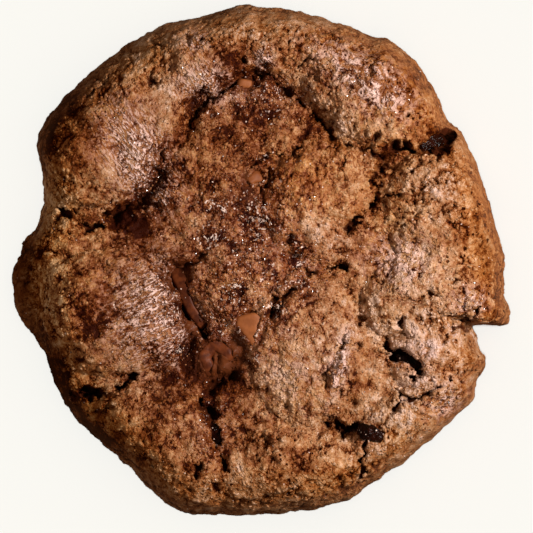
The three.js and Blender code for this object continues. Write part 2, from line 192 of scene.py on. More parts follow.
# Parts of the crust with a look of their own: x, y, half length, half width (mm), turn, strength.
zones = {
    "tone": [  # lighter above zero, darker below: the crust's own tone, with painted light on shaded slopes and painted shade in hollows, valleys and around openings
        (-36.5, 26, 12, 3.6, 62, -0.7), (-33, 21, 6, 5, 40, -0.5), (-30, -11, 3, 6, 0, -0.8),
        (-37, 10, 4, 6, 0, 0.6), (-37.5, -6, 3.4, 9, 0, 0.3), (-22, 7, 5, 4, 25, -1.5),
        (-21, 2.6, 4, 4, 0, -0.6), (28, 21.6, 7, 3, 10, -0.6), (41, 0, 3, 14, 0, -0.3),
        (-17.5, 13, 3, 4, 0, -0.8), (-14, -1, 3, 4, 10, -1.4), (-12.5, -9, 2.4, 6, 12, -1.0),
        (-3, 25, 7, 5, 0, -1.3), (-13, 26, 4, 4, 0, 0.6), (-2, 20, 6, 4, 0, -0.2), (-10, 17, 7, 4, 0, -0.6),
        (0, 12, 4, 4, 0, -1.2), (-9, 9, 5, 3, 0, -0.6), (-4, 3, 6, 4, 0, -0.5),
        (5.5, 1.5, 2.4, 3.4, 0, -0.9), (-8, -17, 6, 5, 0, -1.9), (-14, -21, 6, 5, 0, -1.2),
        (-6, -24, 5, 4, 0, -0.9), (-18, -30, 8, 6, -30, -0.5), (-2, -30, 7, 4, 0, -0.7),
        (4, -34, 4, 4, 0, -0.6), (4, 28.5, 6, 4, -30, -0.6), (-4, 36, 4, 3, 0, -0.8),
        (9, 29, 4, 5, -30, 0.8), (22, 23, 8, 3, -20, 0.7), (31, 15, 5, 4, 0, 0.9), (11, 6, 5, 5, 20, 1.2),
        (3, -22, 4, 7, 0, 1.1), (10, -15, 6, 8, 0, 0.6), (19.5, -9, 3, 6, 0, 1.0), (28, -14, 7, 8, 0, 1.2),
        (21, -29, 8, 4, 20, 1.2), (8, -31, 4, 5, 0, 0.8), (27, 0, 7, 6, 0, 0.6), (25, 9, 3, 5, 0, 0.7),
        (9, 20, 4, 4, 0, -0.6), (17, -1, 3, 3, 0, -0.6), (25, 33, 9, 5, -40, -0.4), (37, -5, 4, 5, 0, 0.5),
        (-29, -26, 4, 3, 0, 0.8), (-36, -15, 3, 4, 0, 0.6), (-18, 38, 5, 4, 20, 0.4),
        (3, -40, 8, 4, 0, 0.3), (-26, 27, 5, 4, 40, -0.1), (16, -24, 3, 3, 0, -0.5),
        (-20, 40, 6, 5, 0, 0.5), (0, 41, 9, 5, 0, 0.35), (-30, 31, 5, 5, 0, 0.4), (-18, 31, 8, 5, 0, 0.25),
        (5, 31, 4, 4, 0, 0.25), (14, 22, 4, 4, 0, 0.4), (-4, 12, 4, 5, 0, -0.3), (23, 13, 4, 4, 0, 0.3),
        (32, 12, 5, 5, 0, 0.5), (30, -18, 9, 12, 0, 0.4), (20, -32, 9, 5, 0, 0.3), (-31, -6, 5, 5, 0, -0.5),
        (-31, -14, 5, 5, 0, -0.35), (-22, -14, 5, 5, 0, -0.2), (-32, -31, 6, 5, -45, -1.2),
        (-13, -32, 5, 4, 0, 0.25), (27, -2, 8, 6, 0, 0.2), (6, 6, 5, 5, 0, 0.5),
        (-4.6, 35.8, 2.6, 2.2, 0, -1.4), (0, 43, 14, 2.4, 0, 0.5), (-30, -31, 5, 4, -45, -0.4),
        (-4, 4, 5, 4, 0, -0.3), (5, -5, 4, 4, 0, 0.3), (-22, 5, 5, 4, 0, -0.3), (23, 4, 5, 5, 0, -0.35),
        (-22, 14, 4, 4, 0, 0.25), (-31, 22, 5, 5, 0, -0.3), (5, 32, 4, 4, 0, 0.3), (23, 31, 5, 5, 0, -0.3),
        (23, -32, 5, 5, 0, 0.2), (-13, -32, 5, 5, 0, 0.15), (-40, 4, 3, 5, 0, -0.3),
        (26, -21, 3.4, 2, 0, 0.8), (26, -12.6, 3, 2, 0, 0.3), (14.5, 24, 2.4, 2, 0, 0.8),
        (-22, -7, 6, 7, 0, -0.3), (41, -8, 3, 4, 0, -0.5), (31.5, 22, 3.4, 2.6, 40, -1.2),
        (24, 20, 4, 1.6, 0, -0.8), (-39, -22, 5, 7, 0, -1.2), (-31, -23, 4, 3, 0, -0.4),
    ],
    "browned": [  # bearing, half angle and strength of the darker side: baked darker, and partly painted shade on the side turned from the key light
        (141, 15, 0.7), (183, 11, 1.1), (206, 12, 0.9), (232, 20, 0.6), (95, 26, 0.2), (320, 60, 0.2),
    ],
    "golden": [  # yellower above zero, pinker below, where the pink is a painted tint of the sheen
        (-38, 2, 8, 30, 0, 0.8), (9, 15, 7, 6, 0, 0.8), (-4, -3, 8, 4, 0, 0.6), (-9, 16, 6, 5, 0, 0.4),
        (-31, -30, 14, 8, -40, 1.0), (-14, 14, 8, 9, 0, 0.6), (-31, 22, 5, 6, 0, 0.5),
        (-31, -5, 5, 6, 0, 0.4), (23, 6, 5, 7, 0, 0.6), (4, 12, 7, 6, 0, 0.4), (-4, 4, 6, 5, 0, 0.5),
        (32, 32, 6, 6, 0, 0.5), (41, 0, 4, 17, 0, 0.3), (23, 22, 5, 5, 0, 0.3), (-22, 15, 5, 6, 0, -0.9),
        (-17, -7, 3, 6, 0, -0.6), (32, 13, 5, 5, 0, -0.6), (14, 4, 5, 5, 0, -0.6), (31, -17, 7, 9, 0, -0.7),
        (14, -14, 5, 6, 0, -0.6), (-13, 31, 6, 5, 0, -0.5), (-4, 40, 8, 4, 0, -0.4), (5, 40, 5, 4, 0, -0.3),
        (-20, -23, 6, 5, 0, -0.3),
    ],
    "smooth": [  # skin with little crumb
        (-25, 22, 9, 10, 30, 0.45), (-27, -10, 12, 10, 0, 0.4), (-14, 38, 12, 6, 20, 0.25),
        (22, 32, 12, 6, -38, 0.3), (27, 0, 8, 7, 0, 0.35), (10, 12, 9, 7, 40, 0.3), (8, -16, 7, 9, 0, 0.2),
        (-16, -34, 12, 7, -30, 0.2), (-37.5, 27, 13, 4, 60, 0.25), (-43.5, -3, 4, 10, 0, 0.2),
        (-40, -21, 4.5, 14, 32, 0.1), (40.5, 11, 14, 2.2, 108, 0.4), (0, 43.8, 16, 1.8, 0, 0.4),
        (24, 36.5, 12, 2, -42, 0.4), (-21, 7, 6, 4, 15, 0.35), (-14.6, -3, 2.4, 5, 10, 1.0),
        (-8, -17, 5, 5, 0, 0.8), (-2, -11.5, 4, 3, 0, 0.8), (35, -29, 14, 4, 45, 0.5),
        (40, 20, 12, 4, -60, 0.25), (-32, 18, 7, 6, 0, 0.3), (-28, -2, 8, 5, 0, 0.15),
    ],
    "wet": [  # moist crumb, deeper in colour and glossier
        (-2, 5, 12, 13, 0, 1.0), (-5, -12, 9, 6, 0, 1.0), (0, 30, 12, 5, 0, 0.8), (-16, -14, 4, 6, 0, 0.7),
        (6, -2, 5, 5, 0, 1.0), (-9, -30, 4, 7, 0, 0.8), (19, -31, 3, 3, 0, 1.0), (26, -18, 4, 3, 0, 1.0),
    ],
    "vivid": [  # shaded slopes whose crumb still shows its colours
        (-38, -6, 4, 12, 0, 1.0), (-37, -21, 4, 8, 20, 0.9), (-39, 13, 4, 8, 0, 0.9),
        (-29, -33, 10, 4, -42, 0.8), (-37, 26, 10, 4, 62, 0.6), (-24, 8, 6, 4, 20, 0.3),
        (-31, -10, 4, 8, 0, 0.4),
    ],
    "glint": [  # clumps of wet crumb with painted glints, and darker gaps
        (-1, 7, 3.2, 5, 0, 1.1), (6.5, 1, 1.9, 3.2, 0, 1.0), (-9, 10, 3.2, 2, 0, 0.9),
        (-9, 4, 3.2, 2.4, 0, 1.0), (0.4, 19, 1.9, 1.5, 0, 0.9), (-5, -5.4, 3.6, 2.8, 0, 1.0),
        (-7, -12.6, 2, 1.2, 20, 1.1), (-3.6, -13.6, 1, 1.7, 0, 1.0), (-1.2, -17, 0.9, 1.8, 0, 0.9),
        (-15.4, -9, 1, 4, 8, 0.8), (2, -8.6, 2.4, 1.8, 30, 0.9), (-14.8, -15.6, 1, 2.6, -40, 0.8),
        (0.5, 31, 3, 1.6, 0, 0.7), (-9.6, -27, 1.6, 1.6, 0, 0.8), (-11, 27, 2.4, 2, 0, 0.6),
    ],
    "smear": [  # smooth brown, where chocolate has run into the crumb
        (-15, -2.4, 1.8, 2.4, -20, 1.3), (-12.4, -11.4, 1.5, 2.2, 20, 1.1), (-7.6, -17.4, 4, 3.4, 0, 1.3),
        (-4, -14.4, 1.8, 2.4, 0, 0.8), (-2.6, 14.6, 1.6, 1.6, 0, 0.7), (-1.2, 11.4, 2, 1.5, 0, 0.5),
        (-3.2, 31.2, 2.4, 1.6, 0, 0.6),
    ],
    "porous": [  # deeper pits and clefts, and more pores painted dark
        (31, 3, 16, 34, 0, 1.0), (8, -36, 16, 9, 0, 0.8), (-16, 37, 10, 5, 20, 0.9), (6, 38, 8, 5, 0, 0.8),
        (-28, -27, 9, 6, -30, 0.8), (-34, 9, 5, 4, 0, 0.8),
    ],
    "sheen": [  # glossy skin, with a pale sheen also painted into its colour
        (-22, 19, 5, 9, 25, 1.1), (-20, 14, 2.6, 4, 30, 0.8), (-17, -5.5, 2.6, 5, 10, 0.8),
        (-20, -9, 7, 9, 0, 0.9), (-14, -15, 2.4, 4, -20, 0.8), (13.8, -18, 1.6, 6, -15, 1.2),
        (-10, 32, 5, 3.4, 0, 0.9), (17, 34, 9, 3.4, -30, 0.8), (25, 0, 6, 5, 0, 0.7),
        (0.3, 36, 1.6, 2.4, 0, 1.2), (21, 30, 6, 4, -40, 0.6), (37, -7, 3, 2.4, 0, 0.8),
        (33, -25, 4, 3, 40, 0.7), (-12, 39.5, 3, 2, 0, 0.6), (5, -20, 6, 8, 0, 0.3),
    ],
}

# Chocolate that shows: its kind, its line as x, y and the width there, and its thickness (mm).
chocolates = {
    "chocolate_seam_left": ("seam", [
        (-15, -2.2, 2.6), (-14.1, -4.6, 1.8), (-13.3, -7.2, 1.5), (-12, -9.6, 1.5), (-10.8, -11.4, 1.2),
    ], 2.4),
    "chocolate_pool_upper": ("milk", [
        (-2.4, -10.9, 5), (-2.2, -12.2, 3.4), (-1.8, -13.6, 1.9), (-1.6, -14.6, 1.1),
    ], 2.6),
    "chocolate_pool_lower": ("deep", [
        (-9.6, -19.8, 1.7), (-9.9, -18, 2.3), (-10, -16.6, 2.5), (-8.7, -15.1, 2.3), (-6.9, -15.6, 2.1),
        (-5.8, -17, 1.6),
    ], 2.8),
    "chocolate_drop_middle": ("drop", [(-1.9, 14.8, 1.9), (-0.9, 15.3, 2.3)], 1.8),
    "chocolate_drop_small": ("drop", [(-0.85, 13.1, 1.1), (-0.85, 12.5, 1.1)], 1.4),
    "chocolate_drop_top": ("milk", [(-3.9, 32.1, 1.7), (-2.3, 31.9, 1.5)], 2.0),
    "chocolate_chunk_rim": ("dark", [(31.8, 21.8, 3.6), (29, 20.8, 2.6)], 3.4),
    "chocolate_chunk_right": ("dark", [(25, -16.8, 2.4), (27.4, -18.4, 2.9)], 3.2),
    "chocolate_chunk_lower_right": ("dark", [(18.2, -30.4, 3), (20.6, -31, 2.7)], 3.2),
    "chocolate_chunk_bottom": ("dark", [(-8.6, -29.6, 2.6), (-7.8, -31.8, 2.3)], 3.0),
}
chocolateForm = {
    "around": 36, "along": 44, "endReach": 0.35, "bluntness": 4,
    "square": {"milk": 0.5, "drop": 0.8, "deep": 0.6, "seam": 0.5, "dark": 0.8},  # lower has a flatter top
    "spread": {"chocolate_pool_lower": 1.15, "chocolate_seam_left": 1.3},  # how much wider than in the solids
}
wobbles = {  # sizes and depths in mm of the unevenness of each kind
    "milk": [(2.3, 0.16)], "drop": [(1.2, 0.24)], "deep": [(2.0, 0.3)], "seam": [(2.6, 0.16)],
    "dark": [(1.3, 0.4), (0.6, 0.22)],
}
bedding = {
    "lip": 0.14,  # mm that crumb stands above melted chocolate at its edge
    "ragged": [(1.5, 0.5), (0.7, 0.35)],  # sizes and depths in mm of that edge's unevenness
    "drawn": 1.5,  # mm around a piece over which the dough rises or falls to it
    "overlap": 0.25,  # mm by which crumb lies over its edge
    "overlapShare": 0.2,  # at most this share of its half width
    "overlapFade": 0.3,  # mm over which the dough sinks to the bed
    "steps": 40,  # points along its line
    "bed": 1.2,  # mm from the piece's top down to the dough under it
}


def smoothStep(low, high, value):
    t = np.clip((value - low) / (high - low), 0, 1)
    return t * t * (3 - 2 * t)


def unevenAt(x, y, size, depth, layer=noiseLayer["form"]):
    return depth * np.array([
        noise.noise((a, b, layer * size), noise_basis="PERLIN_NEW") for a, b in zip(x / size, y / size)
    ])


def curveThrough(at, values, where):  # cubic through neighbouring points
    wide = (lambda a: a[:, None]) if values.ndim > 1 else (lambda a: a)
    i = np.clip(np.searchsorted(at, where, side="right") - 1, 1, len(at) - 3)
    span = at[i + 1] - at[i]
    t = wide((where - at[i]) / span)
    slopeIn = (values[i + 1] - values[i - 1]) / wide(at[i + 1] - at[i - 1]) * wide(span)
    slopeOut = (values[i + 2] - values[i]) / wide(at[i + 2] - at[i]) * wide(span)
    return (
        (2 * t**3 - 3 * t**2 + 1) * values[i] + (t**3 - 2 * t**2 + t) * slopeIn
        + (3 * t**2 - 2 * t**3) * values[i + 1] + (t**3 - t**2) * slopeOut
    )


def reachAt(angle):
    bearing = np.degrees(angle) % 360
    at, reach = np.array(edge, float).T
    at = np.concatenate([at[-2:] - 360, at, at[:3] + 360])
    reach = np.concatenate([reach[-2:], reach, reach[:3]])
    smooth = curveThrough(at, reach, bearing)
    return smooth + unevenAt(smooth * np.cos(angle), smooth * np.sin(angle), *edgeUnevenness)


def inFromEdge(x, y):
    return reachAt(np.arctan2(y, x)) - np.hypot(x, y)


def inEllipse(x, y, cx, cy, long, wide, turn):  # along and across a turned ellipse, 1 at its rim
    c, s = math.cos(math.radians(turn)), math.sin(math.radians(turn))
    return ((x - cx) * c + (y - cy) * s) / long, ((y - cy) * c - (x - cx) * s) / wide


def swellingAt(x, y):
    total = np.zeros_like(x)
    for *ellipse, rise in swellings:
        along, across = inEllipse(x, y, *ellipse)
        inside = np.maximum(0, 1 - along**2 - across**2)
        total += (rise * inside ** dough["swellingEdge"]) ** dough["swellingMerge"]
    return total ** (1 / dough["swellingMerge"])


def nearestOnRoute(x, y, route):  # distance, nearest point and share of the way along
    best = np.full_like(x, np.inf)
    nearX, nearY, share = np.zeros_like(x), np.zeros_like(x), np.zeros_like(x)
    lengths = [math.dist(a, b) for a, b in zip(route, route[1:])]
    passed = 0
    for (ax, ay), (bx, by), length in zip(route, route[1:], lengths):
        t = np.clip(((x - ax) * (bx - ax) + (y - ay) * (by - ay)) / max(length, 1e-9) ** 2, 0, 1)
        px, py = ax + t * (bx - ax), ay + t * (by - ay)
        d = np.hypot(x - px, y - py)
        closer = d < best
        best = np.where(closer, d, best)
        nearX, nearY = np.where(closer, px, nearX), np.where(closer, py, nearY)
        share = np.where(closer, (passed + t * length) / sum(lengths), share)
        passed += length
    return best, nearX, nearY, share


def openings():  # line, half width and depth of every split and pit
    for route, width, depth in splits:
        yield route, width / 2, depth
    for x, y, radius in pits:
        half = radius / opening["pitRoundness"]
        yield [(x - half, y), (x + half, y)], radius, opening["pitDepth"] * radius


def wandered(x, y):  # moves points so that straight walls come out ragged
    dx, dy = np.zeros_like(x), np.zeros_like(y)
    for layer, (size, shift) in enumerate(opening["ragged"]):
        dx += unevenAt(x, y, size, shift, noiseLayer["wanderX"] + layer)
        dy += unevenAt(x, y, size, shift, noiseLayer["wanderY"] + layer)
    return x + dx, y + dy


def openingAt(x, y):  # depth of the deepest opening, and how far inside it a point is
    wx, wy = wandered(x, y)
    widen = np.ones_like(x)
    for layer, (size, share) in enumerate(opening["widths"]):
        widen += unevenAt(x, y, size, share, noiseLayer["width"] + layer)
    crumb = unevenAt(x, y, opening["bridgeSize"], 1, noiseLayer["bridge"])
    bridged = smoothStep(opening["bridgeFrom"], opening["bridgeTo"], crumb)
    left = opening["bridgeDepth"] + (1 - opening["bridgeDepth"]) * bridged
    deepest = np.zeros_like(x)
    for route, halfWidth, depth in openings():
        distance = nearestOnRoute(wx, wy, route)[0] / (halfWidth * np.maximum(widen, opening["narrowest"]))
        wall = np.maximum(0, 1 - distance ** opening["wallCurve"])
        deepest = np.maximum(deepest, depth * wall * (left if len(route) > 2 else 1))
    deepest = deepest * smoothStep(dough["closedFrom"], dough["closedTo"], inFromEdge(x, y))
    return deepest, np.minimum(1, deepest / opening["blackDepth"])


def gathered(x, y):  # draws the mesh in to the openings
    wx, wy = wandered(x, y)
    best = np.full_like(x, np.inf)
    toX, toY = np.zeros_like(x), np.zeros_like(x)
    for route, *_ in openings():
        d, nx, ny, _ = nearestOnRoute(wx, wy, route)
        closer = d < best
        best = np.where(closer, d, best)
        toX, toY = np.where(closer, nx - wx, toX), np.where(closer, ny - wy, toY)
    share = np.minimum(1, best / opening["gatherReach"])
    pull = (1 - opening["closeness"]) * (1 - share**2)
    return x + toX * pull, y + toY * pull


def lineForms(x, y, forms):  # soft ridges or valleys, the strongest wins
    wx, wy = wandered(x, y)
    total = np.zeros_like(x)
    for route, width, rise in forms:
        d = nearestOnRoute((x + wx) / 2, (y + wy) / 2, route)[0]
        total = np.maximum(total, rise * np.maximum(0, 1 - (2 * d / width) ** 2) ** 1.5)
    return total


def rounded(distance, width):  # quarter of an ellipse
    t = np.clip(distance / width, 0, 1)
    return np.sqrt(1 - (1 - t) ** 2)


def formHeight(x, y, depth):  # height of the baked top, as in the solids, less the depth of what is open
    inwards = inFromEdge(x, y)
    off = (np.degrees(np.arctan2(y, x)) % 360 - foot["bearing"]) / foot["halfAngle"]
    footShare = np.exp(-(off**2))
    uneven = sum(unevenAt(x, y, size, amount) for size, amount in unevenness)
    top = dough["crustHeight"] + swellingAt(x, y) + uneven - depth - dough["edgeHeight"]
    main = top * rounded(inwards - foot["reach"] * footShare, dough["shoulder"])
    onFoot = (foot["height"] - dough["edgeHeight"]) * footShare * rounded(inwards, foot["roundness"])
    return dough["edgeHeight"] + np.maximum(main, onFoot)


def layOut(share, reach):  # how far out a share of the way over the top lies
    flat = reach - dough["shoulder"]
    way = share * (flat + dough["sideLength"])
    turn = (way - flat) / dough["sideLength"] * math.pi / 2
    return np.where(way < flat, way, flat + dough["shoulder"] * np.sin(turn))


def zoneAt(x, y, name):
    total = np.zeros_like(x)
    for *ellipse, strength in zones[name]:
        along, across = inEllipse(x, y, *ellipse)
        total += strength * np.exp(-(along**2 + across**2) * zoneFall)
    return total


def brownedAndShadedAt(x, y):  # how dark the side is baked and painted in shade, by bearing
    near = 1 - smoothStep(dough["brownedAndShadedFrom"], dough["brownedAndShadedTo"], inFromEdge(x, y))
    bearing = np.degrees(np.arctan2(y, x)) % 360
    return near * sum(
        strength * np.exp(-(((bearing - middle + 180) % 360 - 180) / half) ** 2)
        for middle, half, strength in zones["browned"]
    )


def lengthsAlong(line):
    return np.concatenate([[0], np.cumsum(np.linalg.norm(np.diff(line, axis=0), axis=1))])


def chocolateLine(name, count):  # centre line with heights, tangents, half widths and bluntness along a piece
    _, route, thickness = chocolates[name]
    flat, widths = np.array(route, float)[:, :2], np.array(route, float)[:, 2]
    widths = widths * chocolateForm["spread"].get(name, 1)
    outward = [(a - b) / np.linalg.norm(a - b) for a, b in ((flat[0], flat[1]), (flat[-1], flat[-2]))]
    first = flat[0] + outward[0] * widths[0] * chocolateForm["endReach"]
    last = flat[-1] + outward[1] * widths[-1] * chocolateForm["endReach"]
    flat = np.vstack([2 * first - flat[0], first, flat, last, 2 * last - flat[-1]])
    at = lengthsAlong(flat)
    u = -np.cos(np.linspace(0, math.pi, count))
    where = at[1] + (1 + u) / 2 * (at[-2] - at[1])
    line = curveThrough(at, flat, where)
    tangent = np.gradient(line, where + np.arange(count) * 1e-9, axis=0)
    tangent /= np.linalg.norm(tangent, axis=1)[:, None]
    half = np.interp(where, at[1:-1], [widths[0], *widths, widths[-1]]) / 2
    blunt = (1 - np.abs(u) ** chocolateForm["bluntness"]) ** (1 / chocolateForm["bluntness"])
    centre = curveThrough(at, formHeight(flat[:, 0], flat[:, 1], 0), where)
    low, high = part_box(name)
    reached = (centre + thickness / 2 * blunt).max() + (centre - thickness / 2 * blunt).min()
    centre += (low.z + high.z) / 2 / mm - reached / 2
    return line, centre, tangent, half, blunt


print("laying out the dough")


def topGrid():
    n = dough["squares"]
    across = np.linspace(-1, 1, n + 1)
    a, b = (g.ravel() for g in np.meshgrid(across, across))
    wide = np.abs(a) > np.abs(b)
    with np.errstate(divide="ignore", invalid="ignore"):
        turn = np.where(wide, math.pi / 4 * b / a, math.pi / 2 - math.pi / 4 * a / b)
    radius = np.where(wide, a, b)
    turn = np.where(radius == 0, 0, turn)
    angle = np.arctan2(radius * np.sin(turn), radius * np.cos(turn))
    index = np.arange((n + 1) ** 2).reshape(n + 1, n + 1)
    corner = index[:-1, :-1].ravel(), index[:-1, 1:].ravel(), index[1:, 1:].ravel(), index[1:, :-1].ravel()
    rim = np.concatenate([index[:-1, -1], index[-1, :0:-1], index[:0:-1, 0], index[0, :-1]])
    return np.abs(radius), angle, np.stack(corner, axis=1), rim


def beddedIn(x, y, z, opened, inside):  # the opened top, drawn to the chocolate in it and covered by it
    wx, wy = wandered(x, y)
    cover, beds = np.zeros_like(x), np.full_like(x, np.inf)
    for name, (kind, _, thickness) in chocolates.items():
        line, centre, _, half, blunt = chocolateLine(name, bedding["steps"])
        distance, _, _, share = nearestOnRoute((x + wx) / 2, (y + wy) / 2, [tuple(p) for p in line])
        passed = lengthsAlong(line)
        along = share * passed[-1]
        outside = distance - np.interp(along, passed, half * blunt)
        top = np.interp(along, passed, centre + thickness / 2 * blunt)
        if kind != "dark":
            lip = bedding["lip"] + sum(unevenAt(x, y, *layer) for layer in bedding["ragged"])
            z = z + (top + lip - z) * (1 - smoothStep(0, bedding["drawn"], outside))
        overlap = min(bedding["overlap"], bedding["overlapShare"] * half.max())
        under = 1 - smoothStep(-overlap - bedding["overlapFade"], -overlap, outside)
        opened, inside = opened * (1 - under), inside * (1 - under)
        beds = np.where(under > 0, np.minimum(beds, top - bedding["bed"]), beds)
        cover = np.maximum(cover, under)
    z = z + opened
    return z + (np.minimum(z, beds) - z) * cover, inside, cover


def sideAndUnderside(ring, reach, angle, count):  # points and faces from the top's rim down and in
    points, faces = [], []
    rows, tuckRows = dough["undersideRows"], dough["tuckRows"]
    for row in range(1, tuckRows + rows):
        tucked = min(1, row / tuckRows) * math.pi / 2
        inRow = max(0, row - tuckRows)
        if inRow in (1, 2, rows // 2, rows * 3 // 4):  # half as many points from here on
            angle, reach = angle[::2], reach[::2]
        far = (reach - dough["tuckIn"] * (1 - math.cos(tucked))) * (1 - inRow / rows)
        px, py = far * np.cos(angle), far * np.sin(angle)
        height = np.full_like(px, dough["edgeHeight"] * (1 - math.sin(tucked)))
        points.append(np.stack([px, py, height], axis=1))
        new = count + np.arange(len(px))
        count += len(px)
        m, k = len(ring), len(new)
        for i in range(k):
            j = (i + 1) % k
            if m == k:
                faces.append([ring[i], new[i], new[j], ring[j]])
            else:
                a, b, c = ring[2 * i], ring[2 * i + 1], ring[(2 * i + 2) % m]
                faces += [[a, new[i], b], [b, new[i], new[j]], [b, new[j], c]]
        ring = new
    points.append(np.array([[0.0, 0.0, 0.0]]))
    faces += [[ring[i], count, ring[(i + 1) % len(ring)]] for i in range(len(ring))]
    return points, faces


def doughFacts(points, ofTop, rimCount):  # what the materials and the crumb have to know of each point
    x, y = points[:, 0], points[:, 1]
    inwards = inFromEdge(x, y)
    onTop = len(ofTop["opening"])
    below = len(points) - onTop
    under = np.concatenate([np.zeros(onTop), np.ones(below)])
    steps = np.arange(1, dough["tuckRows"] + 1) / dough["tuckRows"]
    under[onTop:onTop + len(steps) * rimCount] = np.repeat(steps, rimCount)
    facts = {name: np.concatenate([values, np.zeros(below)]) for name, values in ofTop.items()}
    for name in [name for name in zones if name != "browned"]:
        facts[name] = zoneAt(x, y, name) * (1 - under)
    facts["under"] = under
    facts["edgeSkin"] = 1 - smoothStep(dough["skinFrom"], dough["skinTo"], inwards)
    facts["side"] = 1 - smoothStep(dough["sideFrom"], dough["sideTo"], inwards)
    facts["browned"] = np.minimum(1, brownedAndShadedAt(x, y) * (1 - under))
    facts["smooth"] = np.maximum(facts["smooth"] + dough["skin"] * facts["edgeSkin"], facts["smear"])
    nearRim = 1 - smoothStep(dough["undersideRimFrom"], dough["undersideRimTo"], inwards)
    facts["tone"] += under * (dough["undersideTone"] + dough["undersideRim"] * nearRim)
    facts["porous"] += under * dough["undersidePores"]
    facts["golden"] += under * dough["undersideGolden"]
    return facts


def doughMesh():
    share, angle, squares, rim = topGrid()
    reach = reachAt(angle)
    out = layOut(share, reach)
    x, y = out * np.cos(angle), out * np.sin(angle)
    inner = reach - out > 2 * opening["gatherReach"]
    x[inner], y[inner] = gathered(x[inner], y[inner])
    deep, inside = openingAt(x, y)
    valley, raised = lineForms(x, y, valleys), lineForms(x, y, ridges)
    z = formHeight(x, y, valley - raised)
    opened = formHeight(x, y, deep + valley - raised) - z
    z, inside, cover = beddedIn(x, y, z, opened, inside)
    below, faces = sideAndUnderside(rim, reach[rim], angle[rim], len(x))
    points = np.concatenate([np.stack([x, y, z], axis=1), *below])
    facts = doughFacts(points, {"opening": inside, "cover": cover, "valley": valley}, len(rim))
    return points, squares.tolist() + faces, facts


def toObject(name, points, faces, facts=None):
    mesh = bpy.data.meshes.new(name)
    mesh.from_pydata(points.tolist(), [], [[int(i) for i in face] for face in faces])
    for fact, values in (facts or {}).items():
        mesh.attributes.new(fact, "FLOAT", "POINT").data.foreach_set("value", values.astype(np.float32))
    mesh.polygons.foreach_set("use_smooth", np.ones(len(mesh.polygons), bool))
    mesh.update()
    piece = bpy.data.objects.new(name, mesh)
    bpy.context.scene.collection.objects.link(piece)
    return piece


class nodeValue:  # what a socket gives; sums and products with it make their own nodes
    def __init__(self, socket):
        self.socket, self.tree = socket, socket.id_data

    def __add__(self, other):
        return calc("ADD", self, other)

    def __sub__(self, other):
        return calc("SUBTRACT", self, other)

    def __rsub__(self, other):
        return calc("SUBTRACT", other, self)

    def __mul__(self, other):
        return calc("MULTIPLY", self, other)

    def clamped(self):
        self.socket.node.use_clamp = True
        return self


# Small helpers for node trees, which shaders and geometry share.
def feed(socket, value):
    if isinstance(value, nodeValue):
        value.tree.links.new(value.socket, socket)
    elif value is not None:
        socket.default_value = value


def newNode(tree, kind, values=(), **settings):
    node = tree.nodes.new(kind)
    for name, setting in settings.items():
        setattr(node, name, setting)
    for place, value in values.items() if isinstance(values, dict) else enumerate(values):
        feed(node.inputs[place], value)
    return node


def result(tree, kind, values=(), out=0, **settings):
    return nodeValue(newNode(tree, kind, values, **settings).outputs[out])


def treeOf(*values):
    return next(value.tree for value in values if isinstance(value, nodeValue))


def calc(operation, *values):
    return result(treeOf(*values), "ShaderNodeMath", values, operation=operation)


def larger(a, b):
    return calc("MAXIMUM", a, b)


def vectorCalc(operation, a, b=None):
    places = ("Vector", "Scale") if operation == "SCALE" else (0, 1)
    return result(treeOf(a, b), "ShaderNodeVectorMath", dict(zip(places, (a, b))), operation=operation)


def centred(vector):
    return vectorCalc("SUBTRACT", vector, (0.5, 0.5, 0.5))


def parts(vector, kind="XYZ"):
    node = newNode(vector.tree, "ShaderNodeSeparate" + kind, (vector,))
    return [nodeValue(socket) for socket in node.outputs]


def combined(*values):
    return result(treeOf(*values), "ShaderNodeCombineXYZ", values)


def ramped(value, low, high, toLow=0.0, toHigh=1.0):
    values = value, low, high, toLow, toHigh
    return result(value.tree, "ShaderNodeMapRange", values, interpolation_type="SMOOTHSTEP")


def scaleFor(size):
    return calc("DIVIDE", 1.0, size) if isinstance(size, nodeValue) else 1 / size


def noiseTexture(where, size, detail=2.0, roughness=0.5, distortion=0.0, seed=0.0):
    values = {"Vector": where, "W": seed, "Scale": scaleFor(size), "Detail": detail, "Roughness": roughness,
              "Distortion": distortion}
    return result(where.tree, "ShaderNodeTexNoise", values, noise_dimensions="4D")


def cellTexture(where, size, feature="F1", out="Distance"):
    values = {"Vector": where, "Scale": scaleFor(size)}
    return result(where.tree, "ShaderNodeTexVoronoi", values, out, feature=feature)


def randomCells(where, size):  # three random numbers for each cell, its random colour and the distance in it
    colour = cellTexture(where, size, out="Color")
    return parts(colour, "Color"), colour, nodeValue(colour.socket.node.outputs["Distance"])


def shake(where, size, detail=1.0):  # a small vector that changes with the place
    values = {"Vector": where, "Scale": 1 / size, "Detail": detail}
    return centred(result(where.tree, "ShaderNodeTexNoise", values, "Color"))


def shaken(where, size, shift):
    return vectorCalc("ADD", where, vectorCalc("SCALE", shake(where, size), 2 * shift))


def factOf(tree, name):  # one of the dough's facts
    if tree.bl_idname == "GeometryNodeTree":
        return result(tree, "GeometryNodeInputNamedAttribute", {"Name": name}, "Attribute", data_type="FLOAT")
    return result(tree, "ShaderNodeAttribute", out="Fac", attribute_name=name)


def placeInMm(tree):
    if tree.bl_idname == "GeometryNodeTree":
        return vectorCalc("SCALE", result(tree, "GeometryNodeInputPosition"), 1 / mm)
    return vectorCalc("SCALE", result(tree, "ShaderNodeTexCoord", out="Object"), 1 / mm)


